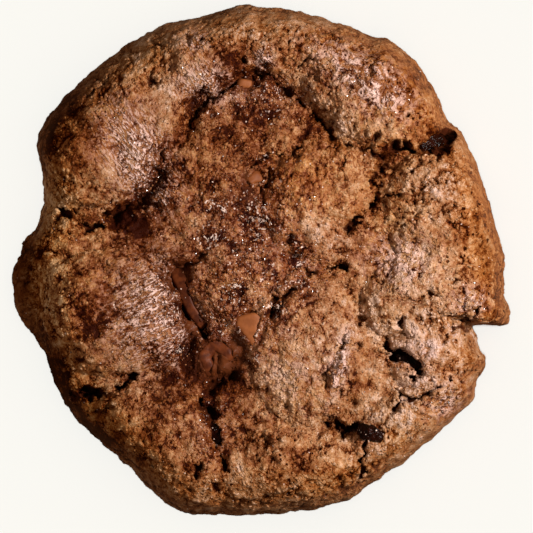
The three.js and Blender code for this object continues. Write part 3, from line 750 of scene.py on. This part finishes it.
def newTree(kind, name, inputs, outputs):  # sockets as names with a default, or with a kind alone
    tree = bpy.data.node_groups.new(name, kind)
    for side, sockets in (("OUTPUT", outputs), ("INPUT", inputs)):
        for socketName, given in sockets.items():
            socketKind = given if isinstance(given, str) else "Int" if isinstance(given, int) else "Float"
            socket = tree.interface.new_socket(socketName, in_out=side, socket_type="NodeSocket" + socketKind)
            if given != socketKind:
                socket.default_value = given
    given = {socket.name: nodeValue(socket) for socket in tree.nodes.new("NodeGroupInput").outputs}
    return tree, given, tree.nodes.new("NodeGroupOutput").inputs


def crumbTree(name, values):
    geometry = {"Geometry": "Geometry"}
    inputs = {**geometry, **values, "Material": "Material"}
    tree, given, out = newTree("GeometryNodeTree", name, inputs, geometry)
    tree.is_modifier = True
    return tree, given, out["Geometry"]


def named(geometry, name, value, domain="POINT"):  # the geometry with the value as a fact of its own
    values = {"Name": name, "Geometry": geometry, "Value": value}
    settings = {"data_type": "FLOAT", "domain": domain}
    return result(geometry.tree, "GeometryNodeStoreNamedAttribute", values, "Geometry", **settings)


def movedAndPainted(geometry, offset, material):
    values = {"Geometry": geometry, "Offset": offset}
    moved = result(geometry.tree, "GeometryNodeSetPosition", values, "Geometry")
    values = {"Geometry": moved, "Material": material}
    return result(geometry.tree, "GeometryNodeSetMaterial", values, "Geometry")


def madeBy(tree, piece, values):  # runs the tree on a piece and keeps the result as a plain mesh
    modifier = piece.modifiers.new(tree.name, "NODES")
    modifier.node_group = tree
    identifiers = {s.name: s.identifier for s in tree.interface.items_tree if s.in_out == "INPUT"}
    for name, value in values.items():
        modifier[identifiers[name]] = value
    bpy.context.view_layer.update()
    evaluated = piece.evaluated_get(bpy.context.evaluated_depsgraph_get())
    mesh = bpy.data.meshes.new_from_object(evaluated)
    piece.modifiers.remove(modifier)
    return mesh


# The crumb: rounded lumps, thin plates and small pits, as real relief along the surface's own direction.
crumbRelief = {
    "Lump size": 3.0, "Lump depth": 0.55, "Plate size": 1.4, "Plate depth": 0.4,
    "Grain size": 0.8, "Grain depth": 0.4, "Pit size": 1.1, "Pit depth": 0.7,
    "Cleft size": 2.0, "Cleft width": 0.26, "Cleft depth": 0.34, "Seed": 4.0,
}
reliefForm = {  # detail, roughness and distortion of each noise
    "lump": (1.0, 0.5, 0.3), "grain": (2.0, 0.6, 0.2), "pit": (2.0, 0.55, 0.0),
    "pitSeed": 5.0, "pitRamp": (0.64, 0.74),  # levels of the noise between which a pit opens
    "plateShift": (3.1, 7.7, 1.3), "plateSmoothness": 0.6, "plateLevel": 0.45,
    "cleftShake": (1.6, 0.9),  # size and shift in mm
    "cleftPlaces": (4.0, 1.0, 0.5, 0.0, 71.0), "cleftRamp": (0.47, 0.62),
    "skin": 0.75,  # share of the rough crumb that smooth skin takes away
    "skinOnLumps": 0.5,
}


def reliefTree():
    form = reliefForm
    tree, given, out = crumbTree("crumbRelief", crumbRelief)
    inMm, seed = placeInMm(tree), given["Seed"]
    lumps = noiseTexture(inMm, given["Lump size"], *form["lump"], seed)
    plates = cellTexture(vectorCalc("ADD", inMm, form["plateShift"]), given["Plate size"], "SMOOTH_F1")
    plates.socket.node.inputs["Smoothness"].default_value = form["plateSmoothness"]
    grain = noiseTexture(inMm, given["Grain size"], *form["grain"], seed)
    holes = noiseTexture(inMm, given["Pit size"], *form["pit"], seed + form["pitSeed"])
    pit = ramped(holes, *form["pitRamp"])
    lump = (lumps - 0.5) * (given["Lump depth"] * 2.0)
    fine = (grain - 0.5) * (given["Grain depth"] * 2.0)
    rough = (form["plateLevel"] - plates) * given["Plate depth"] + fine
    edges = cellTexture(shaken(inMm, *form["cleftShake"]), given["Cleft size"], "DISTANCE_TO_EDGE")
    cleft = ramped(edges * given["Cleft size"], given["Cleft width"], 0.0)
    cleft = cleft * ramped(noiseTexture(inMm, *form["cleftPlaces"]), *form["cleftRamp"])
    sunk = pit * given["Pit depth"] + cleft * given["Cleft depth"]
    rough = rough - sunk * (factOf(tree, "porous") + 1.0)
    plain = larger(factOf(tree, "cover"), factOf(tree, "under")).clamped()
    skin = (factOf(tree, "smooth") * form["skin"]).clamped()
    height = (lump * (1.0 - skin * form["skinOnLumps"]) + rough * (1.0 - skin)) * (1.0 - plain)
    geometry = given["Geometry"]
    for name, value in (("relief", height), ("pit", pit), ("cleft", cleft)):
        geometry = named(geometry, name, value)
    offset = vectorCalc("SCALE", result(tree, "GeometryNodeInputNormal"), height * mm)
    feed(out, movedAndPainted(geometry, offset, given["Material"]))
    return tree


# Crumb that lies on the crust as real pieces, one mesh for each kind. Lengths in mm.
crumbInputs = ("Count per cm2", "Size", "Long", "Flat", "Sink", "Ragged", "Tilt", "Wet only", "Seed")
crumbs = {
    "crumbFlakes": (150.0, 0.3, 1.9, 0.55, 0.1, 0.1, 0.35, 0.0, 3),
    "crumbGrains": (145.0, 0.19, 1.2, 0.9, 0.04, 0.05, 0.6, 0.0, 8),
    "fatBeads": (190.0, 0.17, 1.5, 0.7, 0.02, 0.03, 0.6, 1.0, 5),
}
crumbForm = {
    "facingUp": (0.35, 0.7),  # how level the crust has to be for crumb to lie on it
    "sizes": (0.5, 1.35),  # of the size above
    "raggedSize": 0.35,  # mm
    "raggedShare": 4,
    "tones": (-0.35, 1.0),  # lighter above zero
}


def randomFloat(tree, low, high, seed):
    return result(tree, "FunctionNodeRandomValue", {2: low, 3: high, "Seed": seed}, 1, data_type="FLOAT")


def scatterTree():
    tree, given, out = crumbTree("crumbScatter", dict(zip(crumbInputs, crumbs["crumbFlakes"])))
    allowed = ramped(parts(result(tree, "GeometryNodeInputNormal"))[2], *crumbForm["facingUp"])
    for name in ("cover", "under", "smooth", "opening", "browned"):
        allowed = allowed * (1.0 - factOf(tree, name)).clamped()
    wetness = larger(factOf(tree, "wet"), factOf(tree, "sheen"))
    onlyWet = ((1.0 - given["Wet only"]) + given["Wet only"] * wetness).clamped()
    perArea = given["Count per cm2"] * 1e4 * (allowed * onlyWet)
    place = newNode(tree, "GeometryNodeDistributePointsOnFaces",
                    {"Mesh": given["Geometry"], "Density": perArea, "Seed": given["Seed"]}).outputs

    tilt, lean = given["Tilt"], given["Tilt"] * -1.0
    turn = combined(randomFloat(tree, lean, tilt, 1), randomFloat(tree, lean, tilt, 2),
                    randomFloat(tree, 0.0, 2 * math.pi, 3))
    turns = nodeValue(place["Rotation"]), result(tree, "FunctionNodeEulerToRotation", (turn,))
    spin = result(tree, "FunctionNodeRotateRotation", turns, rotation_space="LOCAL")

    size = randomFloat(tree, *crumbForm["sizes"], 4) * (given["Size"] * mm)
    scale = combined(size * randomFloat(tree, 1.0, given["Long"], 5), size, size * given["Flat"])
    ball = result(tree, "GeometryNodeMeshIcoSphere", {"Radius": 1.0, "Subdivisions": 1}, "Mesh")
    copies = result(tree, "GeometryNodeInstanceOnPoints", {
        "Points": nodeValue(place["Points"]), "Instance": ball, "Rotation": spin, "Scale": scale,
    }, "Instances")
    copies = named(copies, "chip", randomFloat(tree, *crumbForm["tones"], 6), "INSTANCE")
    real = result(tree, "GeometryNodeRealizeInstances", {"Geometry": copies}, "Geometry")

    ragged = shake(result(tree, "GeometryNodeInputPosition"), crumbForm["raggedSize"] * mm, 0.0)
    ragged = vectorCalc("SCALE", ragged, given["Ragged"] * (crumbForm["raggedShare"] * mm))
    offset = vectorCalc("ADD", ragged, combined(0.0, 0.0, given["Sink"] * -mm))
    feed(out, movedAndPainted(real, offset, given["Material"]))
    return tree


def makeCrumbs(crustPiece, materials):
    tree = scatterTree()
    for name, values in crumbs.items():
        mesh = madeBy(tree, crustPiece, {**dict(zip(crumbInputs, values)), "Material": materials[name]})
        mesh.name = name
        mesh.materials.clear()
        mesh.materials.append(materials[name])
        mesh.polygons.foreach_set("material_index", np.zeros(len(mesh.polygons), np.int32))
        mesh.polygons.foreach_set("use_smooth", np.full(len(mesh.polygons), name != "fatBeads"))
        piece = bpy.data.objects.new(name, mesh)
        bpy.context.scene.collection.objects.link(piece)
        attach(piece, "root")
        print(name, len(mesh.polygons), "triangles")
        yield piece


def makeDough(material):
    points, faces, facts = doughMesh()
    low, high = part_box("cookie_dough")
    middle = np.array([(low.x + high.x) / 2, (low.y + high.y) / 2]) / mm
    shift = middle - (points[:, :2].min(0) + points[:, :2].max(0)) / 2
    piece = toObject("cookieCrust", points * mm, faces, facts)
    piece.data = madeBy(reliefTree(), piece, {**crumbRelief, "Material": material})
    for v in piece.data.vertices:
        v.co.x += shift[0] * mm
        v.co.y += shift[1] * mm
        v.co.z = max(v.co.z, 0)
    return piece, shift


def makeChocolate(name, shift, material):
    kind, _, thickness = chocolates[name]
    around, along = chocolateForm["around"], chocolateForm["along"]
    line, centre, tangent, half, blunt = chocolateLine(name, along + 1)
    turn = np.arange(around) / around * 2 * math.pi
    square = chocolateForm["square"][kind]
    side = np.sign(np.cos(turn)) * np.abs(np.cos(turn)) ** square
    up = np.sign(np.sin(turn)) * np.abs(np.sin(turn)) ** square
    ends = np.arange(1, along)
    x = line[ends, 0, None] - tangent[ends, 1, None] * side * (half * blunt)[ends, None]
    y = line[ends, 1, None] + tangent[ends, 0, None] * side * (half * blunt)[ends, None]
    z = centre[ends, None] + up * (thickness / 2 * blunt)[ends, None]
    points = np.stack([x, y, z], axis=2).reshape(-1, 3)
    points = np.vstack([points, [[*line[0], centre[0]], [*line[-1], centre[-1]]]])
    for size, amount in wobbles[kind]:
        points += np.array([noise.noise_vector(p / size) for p in points]) * amount
    points[:, :2] += shift
    last, faces = (len(ends) - 1) * around, []
    beside = [(j, (j + 1) % around) for j in range(around)]
    for i in range(0, last, around):
        faces += [[i + j, i + k, i + around + k, i + around + j] for j, k in beside]
    for j, k in beside:
        faces += [[j, last + around, k], [last + j, last + k, last + around + 1]]
    piece = toObject(name.replace("chocolate_", "melted_"), points * mm, faces)
    piece.data.materials.append(material)
    return piece


def newMaterial(name):
    material = bpy.data.materials.new(name)
    material.use_nodes = True
    tree = material.node_tree
    tree.nodes.clear()
    output = tree.nodes.new("ShaderNodeOutputMaterial")
    shader = tree.nodes.new("ShaderNodeBsdfPrincipled")
    tree.links.new(shader.outputs[0], output.inputs["Surface"])
    return material, tree, shader


def feedAll(shader, values):
    for name, value in values.items():
        feed(shader.inputs[name], value)


def colourRamp(value, stops):
    node = newNode(value.tree, "ShaderNodeValToRGB", (value,))
    elements = node.color_ramp.elements
    while len(elements) < len(stops):
        elements.new(0.5)
    for element, (at, colour) in zip(elements, stops):
        element.position = at
        element.color = (*colour, 1)
    return nodeValue(node.outputs[0])


def mixed(blend, amount, a, b):
    a, b = ((*value, 1) if isinstance(value, tuple) else value for value in (a, b))
    values, settings = {0: amount, 6: a, 7: b}, {"data_type": "RGBA", "blend_type": blend}
    return result(treeOf(amount, a, b), "ShaderNodeMix", values, 2, **settings)


def bumped(height, distance, strength=1.0):
    values = {"Distance": distance, "Strength": strength, "Height": height}
    return result(height.tree, "ShaderNodeBump", values)


def srgb(r, g, b):
    return tuple(((c / 255 + 0.055) / 1.055) ** 2.4 if c > 10 else c / 255 / 12.92 for c in (r, g, b))


def useGroup(tree, group, **given):
    node = newNode(tree, "ShaderNodeGroup", node_tree=group)
    feedAll(node, given)
    return {socket.name: nodeValue(socket) for socket in node.outputs}


grainForm = {  # size as a share of the coarsest, detail, roughness, distortion and shift of the seed
    "colour": (1.0, 4.5, 0.92, 0.25, 0.0), "bumps": (0.45, 4.5, 0.66, 0.4, 9.0),
    "crossing": (0.5, 2.0, 0.5, 0.6, 17.0), "broken": (1.0, 1.0, 0.5, 0.0, 31.0),
    "fissureWidth": 0.05, "brokenRamp": (0.42, 0.58),
}
facetForm = {"shake": (0.5, 0.15), "rim": (0.42, 0.28)}  # size and shift in mm, and where a facet ends
cavityForm = {  # depths from 0 to 1 between which each painted shade comes in
    "fromGrain": 0.5, "wall": (0.12, 0.5), "rim": (0.02, 0.25), "black": (0.5, 1.05),
}


def crumbGrainGroup():  # grain of nearly the same strength at every size, as crumb has
    inputs = {"Position": "Vector", "Size": 3.0, "Contrast": 2.4, "Seed": 0.0}
    outputs = {"Grain": "Float", "Relief": "Float", "Fissure": "Float"}
    tree, given, out = newTree("ShaderNodeTree", "crumbGrain", inputs, outputs)

    def layer(name):
        share, *form, shift = grainForm[name]
        return noiseTexture(given["Position"], given["Size"] * share, *form, given["Seed"] + shift)

    feed(out["Grain"], ((layer("colour") - 0.5) * given["Contrast"] + 0.5).clamped())
    feed(out["Relief"], layer("bumps"))
    # Fissure: thin lines that the crust paints dark, as painted shade in cracks
    line = ramped(calc("ABSOLUTE", layer("crossing") - 0.5), grainForm["fissureWidth"], 0.0)
    feed(out["Fissure"], line * ramped(layer("broken"), *grainForm["brokenRamp"]))
    return tree


def wetFacetGroup():  # small flat facets that tilt at random, which glint as wet crumb does, with a painted pale glint spot in each
    inputs = {"Position": "Vector", "Size": 0.3, "Tilt": 1.0, "Normal": "Vector"}
    outputs = {"Normal": "Vector", "Speck": "Float", "Chance": "Float"}
    tree, given, out = newTree("ShaderNodeTree", "wetFacet", inputs, outputs)
    numbers, colour, distance = randomCells(shaken(given["Position"], *facetForm["shake"]), given["Size"])
    tilted = vectorCalc("ADD", given["Normal"], vectorCalc("SCALE", centred(colour), given["Tilt"]))
    feed(out["Normal"], vectorCalc("NORMALIZE", tilted))
    feed(out["Speck"], ramped(distance, *facetForm["rim"]))
    feed(out["Chance"], numbers[1])
    return tree


def cavityGroup():  # paints shade into what lies deep, a shaded wall colour and then black, with crumb breaking the rim of the painted shade
    inputs = {"Colour": "Color", "Wall": "Color", "Shade": "Color", "Depth": 0.0, "Grain": 0.5}
    tree, given, out = newTree("ShaderNodeTree", "cavityShade", inputs, {"Colour": "Color", "Mask": "Float"})
    ragged = given["Depth"] + (0.5 - given["Grain"]) * cavityForm["fromGrain"]
    mask = ramped(ragged, *cavityForm["wall"]) * ramped(given["Depth"], *cavityForm["rim"])
    black = ramped(ragged, *cavityForm["black"]) * mask
    wall = mixed("MIX", mask, given["Colour"], given["Wall"])
    feed(out["Colour"], mixed("MIX", black, wall, given["Shade"]))
    feed(out["Mask"], mask)
    return tree


crust = {
    "grain": {"Size": 2.6, "Contrast": 1.9, "Seed": 2.0},  # mm, the coarsest grain of the colour
    "stops": [(0.0, srgb(46, 12, 2)), (0.22, srgb(102, 48, 13)), (0.45, srgb(147, 89, 43)),
              (0.68, srgb(174, 127, 88)), (0.95, srgb(206, 168, 144))],
    # How much each of these lightens or darkens; the relief, fissures, pores, clefts and valleys paint light
    # on the tops and shade in the hollows.
    "lightFromRelief": 0.5, "fromToneAndPaintedLight": 0.26, "fromPatch": 0.16, "shadeFromFissure": 0.36, "fromChip": 0.14,
    "fromFlake": 0.3, "shadeFromValley": 0.2, "fromClump": 0.22, "shadeFromCleft": 0.27, "shadeFromPore": 0.6,
    "softContrast": 1.5, "vivid": 1.0, "skin": 0.7, "sheenOnGrain": 0.45, "clumpGrain": 1.2,
    "flakeSize": 1.1, "flakeShake": (0.8, 0.4),  # shares of the size
    "poreSize": 1.5, "poreRadius": 0.26, "poreShare": 0.34, "poreShake": (0.9, 0.35), "poreRim": (1.5, 0.6),
    "poresAnywhere": 0.3,
    # Colours, and how much of them comes through.
    # wall and shade are painted shade, for the walls and the depths of openings
    "wall": srgb(62, 26, 12), "shade": srgb(14, 4, 1), "sideSkin": srgb(166, 118, 86), "sideSkinShare": 0.22,
    "golden": (1.04, 0.94, 0.6), "sheenPink": (1.0, 1.04, 1.3), "warmPatch": (1.02, 0.95, 0.8),
    "coolPatch": (1.0, 1.03, 1.1), "wetShade": (0.74, 0.5, 0.34), "wetShare": 0.6,
    "browned": (0.37, 0.27, 0.22), "smear": srgb(92, 46, 22), "smearShare": 0.9,
    # paintedSheen and paintedGlint are painted highlights put into the colour
    "paintedSheen": srgb(224, 184, 170), "paintedSheenShare": 0.56, "paintedGlint": srgb(230, 201, 186), "paintedGlintShare": 0.8,
    # Share of the facets painted with a pale glint.
    "wetPaintedGlints": 0.06, "sheenPaintedGlints": 0.045, "dryPaintedGlints": 0.008,
    "facetSize": 0.4, "facetTilt": 1.0, "clumpShare": 0.55, "glintReach": 0.12,
    # Strokes in the skin, lower swelling then upper: mm, degrees, and where in x and y they give way.
    "strokeBearings": (25, -52), "strokeLength": 3.4, "strokeWidth": 0.38, "strokeForm": (1.0, 0.5, 0.3),
    "upperFrom": (2.0, 7.0), "rightFrom": (-12.0, -6.0), "streakRamp": (0.45, 0.58),
    "bump": 0.85, "bumpOfPore": 0.5, "bumpOfStreak": 0.5, "skinOnBump": 0.8,
    "roughness": (0.6, 0.36), "roughnessRamp": (0.2, 0.8), "wetRoughness": 0.1,
    "specular": 0.4, "ior": 1.45, "sideSpecular": 0.8, "coat": 0.6, "coatRoughness": 0.26, "dryGlint": 0.1,
}
crustNoises = {  # size in mm, detail, roughness, distortion and seed
    "patch": (6.0, 2.0, 0.5, 0.5, 3.0), "clump": (3.4, 2.0, 0.55, 0.4, 51.0),
    "soft": (2.4, 3.0, 0.55, 0.6, 63.0), "hue": (5.0, 3.0, 0.55, 0.6, 91.0),
    "cloud": (1.3, 3.0, 0.6, 0.6, 85.0), "glint": (0.85, 2.0, 0.6, 0.8, 77.0),
}
crustRamps = {  # levels between which each comes in
    "clump": (0.42, 0.58), "hue": (0.35, 0.65), "lit": (0.1, 0.45), "glint": (0.67, 0.71),
    "inClump": (0.1, 0.4),
}


def poreMask(inMm):  # small pores in some of the cells, painted dark as shade in them
    numbers, _, distance = randomCells(shaken(inMm, *crust["poreShake"]), crust["poreSize"])
    width = crust["poreRadius"] / crust["poreSize"]
    spot = ramped(distance, *(width * share for share in crust["poreRim"]))
    return spot * calc("LESS_THAN", numbers[0], crust["poreShare"])


def flakeTone(inMm):  # flakes of crumb, each with a tone of its own
    tones = []
    for size in (crust["flakeSize"], crust["flakeSize"] * 0.5):
        shakes = (size * share for share in crust["flakeShake"])
        tones.append(randomCells(shaken(inMm, *shakes), size)[0][2])
    return (tones[0] + tones[1]) * 0.5


def between(low, high, share):
    return high * share + low * (1.0 - share)


def streaks(inMm):  # short strokes in the skin, which turn between the two left swellings; they pattern the painted sheen and the bump
    x, y, z = parts(inMm)
    fields = []
    for bearing in crust["strokeBearings"]:
        c, s = math.cos(math.radians(bearing)), math.sin(math.radians(bearing))
        where = combined((x * c + y * s) * (1 / crust["strokeLength"]), y * c - x * s, z)
        fields.append(noiseTexture(where, crust["strokeWidth"], *crust["strokeForm"], bearing))
    strokes = between(*fields, ramped(y, *crust["upperFrom"]))
    cloudy = noiseTexture(inMm, *crustNoises["cloud"])
    return ramped(between(strokes, cloudy, ramped(x, *crust["rightFrom"])), *crust["streakRamp"])


def beadMaterial():
    material, tree, shader = newMaterial("fatBead")
    colour = colourRamp(factOf(tree, "chip"), [(0.0, srgb(66, 28, 10)), (1.0, srgb(176, 116, 76))])
    feedAll(shader, {"Base Color": colour, "Roughness": 0.2, "Specular IOR Level": 0.6})
    return material


def crustMaterial(grainGroup, cavity, facets):
    material, tree, shader = newMaterial("bakedCrust")
    inMm = placeInMm(tree)
    crumb = useGroup(tree, grainGroup, Position=inMm, **crust["grain"])
    fact = lambda name: factOf(tree, name)
    noiseOf = lambda name: noiseTexture(inMm, *crustNoises[name])
    clampedFact = lambda name, share=1.0: (fact(name) * share).clamped()

    skin = ((fact("smooth") - fact("edgeSkin") * dough["skin"]) * crust["skin"]).clamped()
    rugged = 1.0 - skin
    pore = poreMask(inMm) * ((fact("porous") + crust["poresAnywhere"]).clamped() * rugged)
    wet, sheen = clampedFact("wet"), clampedFact("sheen")
    clump = wet * ramped(noiseOf("clump"), *crustRamps["clump"])
    clump = larger(clump * crust["clumpShare"], fact("glint")).clamped()
    coarse = (rugged + clump * crust["clumpGrain"]) * (1.0 - sheen * crust["sheenOnGrain"])
    light = (crumb["Grain"] - 0.5) * coarse + 0.5
    # painted light and shade: relief, tone zones, fissures, pores, clefts and valleys lighten or darken the
    # colour as light and shade would
    for value, share in (
        (fact("relief"), crust["lightFromRelief"]), (fact("tone"), crust["fromToneAndPaintedLight"]),
        (noiseOf("patch") - 0.5, crust["fromPatch"]), (fact("chip"), crust["fromChip"]),
        (crumb["Fissure"] * rugged, -crust["shadeFromFissure"]), (pore, -crust["shadeFromPore"]),
        (fact("cleft") * rugged, -crust["shadeFromCleft"]), ((flakeTone(inMm) - 0.5) * rugged, crust["fromFlake"]),
        (fact("valley"), -crust["shadeFromValley"]), (clump, -crust["fromClump"]),
        ((noiseOf("soft") - 0.5) * skin, crust["softContrast"]),
    ):
        light = light + value * share
    light = (light - 0.5) * (fact("vivid") * crust["vivid"] + 1.0) + 0.5

    colour = colourRamp(light, crust["stops"])
    hues = mixed("MIX", ramped(noiseOf("hue"), *crustRamps["hue"]), crust["warmPatch"], crust["coolPatch"])
    colour = mixed("MULTIPLY", 1.0, colour, hues)
    colour = mixed("MULTIPLY", clampedFact("golden"), colour, crust["golden"])
    # pinker tint, a painted tint of the sheen
    colour = mixed("MULTIPLY", clampedFact("golden", -1.0), colour, crust["sheenPink"])
    colour = mixed("MULTIPLY", wet * crust["wetShare"], colour, crust["wetShade"])
    streak, lit = streaks(inMm), ramped(light, *crustRamps["lit"])
    # painted sheen: pale streaks put into the colour of the glossy skin
    paintedSheen = (sheen * streak * (crust["paintedSheenShare"] * 2)).clamped()
    colour = mixed("MIX", paintedSheen * lit, colour, crust["paintedSheen"])

    height = crumb["Relief"] - pore * crust["bumpOfPore"] + streak * sheen * crust["bumpOfStreak"]
    normal = bumped(height, crust["bump"] * mm, 1.0 - skin * crust["skinOnBump"])
    facet = useGroup(
        tree, facets, Position=inMm, Size=crust["facetSize"], Tilt=crust["facetTilt"], Normal=normal
    )
    # painted glints: pale spots put into the colour of wet, glossy and dry crumb
    paintedGlintChance = larger(wet * crust["wetPaintedGlints"], sheen * crust["sheenPaintedGlints"])
    chosen = calc("LESS_THAN", facet["Chance"], larger(paintedGlintChance, rugged * crust["dryPaintedGlints"]))
    glint = ramped(noiseOf("glint") + clump * crust["glintReach"], *crustRamps["glint"])
    glint = glint * ramped(clump, *crustRamps["inClump"])
    paintedGlint = larger(chosen * facet["Speck"], glint) * crust["paintedGlintShare"]
    colour = mixed("MIX", paintedGlint, colour, crust["paintedGlint"])
    colour = mixed("MIX", clampedFact("smear", crust["smearShare"]), colour, crust["smear"])
    colour = mixed("MIX", fact("edgeSkin") * crust["sideSkinShare"], colour, crust["sideSkin"])
    # darker baked side, partly painted shade where the side turns from the light
    browned = fact("browned")
    colour = mixed("MULTIPLY", browned, colour, crust["browned"])
    # painted shade in the openings, darkest where they are deepest
    shaded = useGroup(tree, cavity, Colour=colour, Wall=(*crust["wall"], 1), Shade=(*crust["shade"], 1),
                      Depth=fact("opening"), Grain=crumb["Grain"])

    shining = (1.0 - larger(shaded["Mask"], browned)).clamped()
    shining = shining * ramped(light, *crustRamps["lit"], 0.1, 1.0)
    shining = shining * (1.0 - fact("side") * crust["sideSpecular"]).clamped()
    rough = ramped(crumb["Grain"], *crust["roughnessRamp"], *crust["roughness"])
    feedAll(shader, {
        "Base Color": shaded["Colour"], "Normal": normal, "Coat Normal": facet["Normal"], "IOR": crust["ior"],
        "Roughness": (rough - larger(wet, sheen) * crust["wetRoughness"]).clamped(),
        "Specular IOR Level": shining * crust["specular"], "Coat Roughness": crust["coatRoughness"],
        "Coat Weight": larger(larger(wet, sheen), crust["dryGlint"]) * shining * crust["coat"],
    })
    return material


chocolateLooks = {  # colour, shade, roughness, size and depth of ripples (mm), specular, share of painted pale glints
    "milk": (srgb(140, 79, 40), srgb(124, 68, 33), 0.5, 0.9, 0.08, 0.15, 0.0),
    "drop": (srgb(124, 68, 33), srgb(106, 54, 24), 0.5, 0.9, 0.08, 0.15, 0.0),
    # deep and seam: milk chocolate darkened with painted shade, as it lies in shade
    "deep": (srgb(104, 50, 23), srgb(70, 29, 12), 0.42, 0.9, 0.15, 0.1, 0.012),
    "seam": (srgb(98, 46, 20), srgb(62, 24, 8), 0.42, 0.9, 0.1, 0.1, 0.012),
    "dark": (srgb(12, 3, 1), srgb(38, 11, 4), 0.1, 0.5, 0.4, 0.07, 0.06),
}
chocolateCloud = {"noise": (1.6, 3.0, 0.5, 0.4), "ramp": (0.35, 0.65), "onRoughness": 0.14}


def chocolateMaterial(kind, facets):
    colour, shade, roughness, ripple, bump, specular, paintedGlints = chocolateLooks[kind]
    material, tree, shader = newMaterial(kind + "Chocolate")
    inMm = placeInMm(tree)
    cloud = noiseTexture(inMm, *chocolateCloud["noise"])
    colour = mixed("MIX", ramped(cloud, *chocolateCloud["ramp"]), colour, shade)
    facet = useGroup(tree, facets, Position=inMm, Size=crust["facetSize"])
    # painted glints on the chocolate
    paintedGlint = calc("LESS_THAN", facet["Chance"], paintedGlints) * facet["Speck"] * crust["paintedGlintShare"]
    feedAll(shader, {
        "Base Color": mixed("MIX", paintedGlint, colour, crust["paintedGlint"]),
        "Roughness": cloud * chocolateCloud["onRoughness"] + roughness,
        "Normal": bumped(noiseTexture(inMm, ripple), bump * mm),
        "Specular IOR Level": specular,
    })
    return material


facets = wetFacetGroup()
crustLook = crustMaterial(crumbGrainGroup(), cavityGroup(), facets)
cookieCrust, shift = makeDough(crustLook)
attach(cookieCrust, "root")
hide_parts("cookie_dough")
print("dough made,", sum(len(p.vertices) - 2 for p in cookieCrust.data.polygons), "triangles")

pieces = [cookieCrust, *makeCrumbs(cookieCrust, {
    "crumbFlakes": crustLook, "crumbGrains": crustLook, "fatBeads": beadMaterial(),
})]
looks = {kind: chocolateMaterial(kind, facets) for kind in chocolateLooks}
for name, (kind, *_) in chocolates.items():
    piece = makeChocolate(name, shift, looks[kind])
    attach(piece, "root")
    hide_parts(name)
    pieces.append(piece)
print("chocolate made")

stage = {
    "floor": srgb(252, 249, 244), "floorSize": 3.0, "floorBelow": 0.05,
    "cameraHeight": 0.9, "cameraX": 0.81, "cameraY": -0.81, "sensor": 36.0,
    "frameWidth": 95.94, "focusHeight": 6.0,  # mm
    "world": 0.205, "worldColour": (1.0, 0.8, 0.6),
}
lights = {  # bearing and rise in degrees, distance and size in metres, power, colour
    "keyLight": (12, 47, 0.32, 0.06, 1.6, (1.0, 0.97, 0.94)),
    "fillLight": (195, 38, 0.32, 0.2, 0.12, (1.0, 0.93, 0.86)),
    "floorLight": (0, 90, 2.0, 0.3, 35.0, (0.9, 0.955, 0.985)),
}


def areaLight(name, receivers):  # lights these objects alone
    bearing, rise, far, size, power, colour = lights[name]
    data = bpy.data.lights.new(name, "AREA")
    data.shape, data.size, data.energy, data.color = "DISK", size, power, colour
    light = bpy.data.objects.new(name, data)
    b, r = math.radians(bearing), math.radians(rise)
    light.location = (far * math.cos(b) * math.cos(r), far * math.sin(b) * math.cos(r), far * math.sin(r))
    light.rotation_euler = (math.pi / 2 - r, 0, b + math.pi / 2)
    bpy.context.scene.collection.objects.link(light)
    lit = bpy.data.collections.new(name + "Receivers")
    for receiver in receivers:
        lit.objects.link(receiver)
    light.light_linking.receiver_collection = lit


def makeStage():
    half, z = stage["floorSize"] / 2, -stage["floorBelow"] * mm
    corners = np.array([(-half, -half, z), (half, -half, z), (half, half, z), (-half, half, z)])
    floor = toObject("floor", corners, [[0, 1, 2, 3]])
    material, _, shader = newMaterial("paleFloor")
    feedAll(shader, {"Base Color": (*stage["floor"], 1), "Roughness": 0.9})
    floor.data.materials.append(material)
    floor.visible_diffuse = floor.visible_glossy = False  # it lights nothing but the eye

    world = bpy.data.worlds.new("softRoom")
    world.use_nodes = True
    background = world.node_tree.nodes["Background"]
    feedAll(background, {"Color": (*stage["worldColour"], 1), "Strength": stage["world"]})
    bpy.context.scene.world = world

    areaLight("keyLight", pieces)
    areaLight("fillLight", pieces)
    areaLight("floorLight", [floor])

    camera = bpy.data.objects.new("camera", bpy.data.cameras.new("camera"))
    camera.data.sensor_width = stage["sensor"]
    camera.data.lens = stage["sensor"] * stage["cameraHeight"] / (stage["frameWidth"] * mm)
    camera.location = (
        (stage["cameraX"] + shift[0]) * mm, (stage["cameraY"] + shift[1]) * mm,
        stage["cameraHeight"] + stage["focusHeight"] * mm,
    )
    bpy.context.scene.collection.objects.link(camera)
    bpy.context.scene.camera = camera
    bpy.context.scene.view_settings.view_transform = "Standard"


makeStage()
print("stage made")
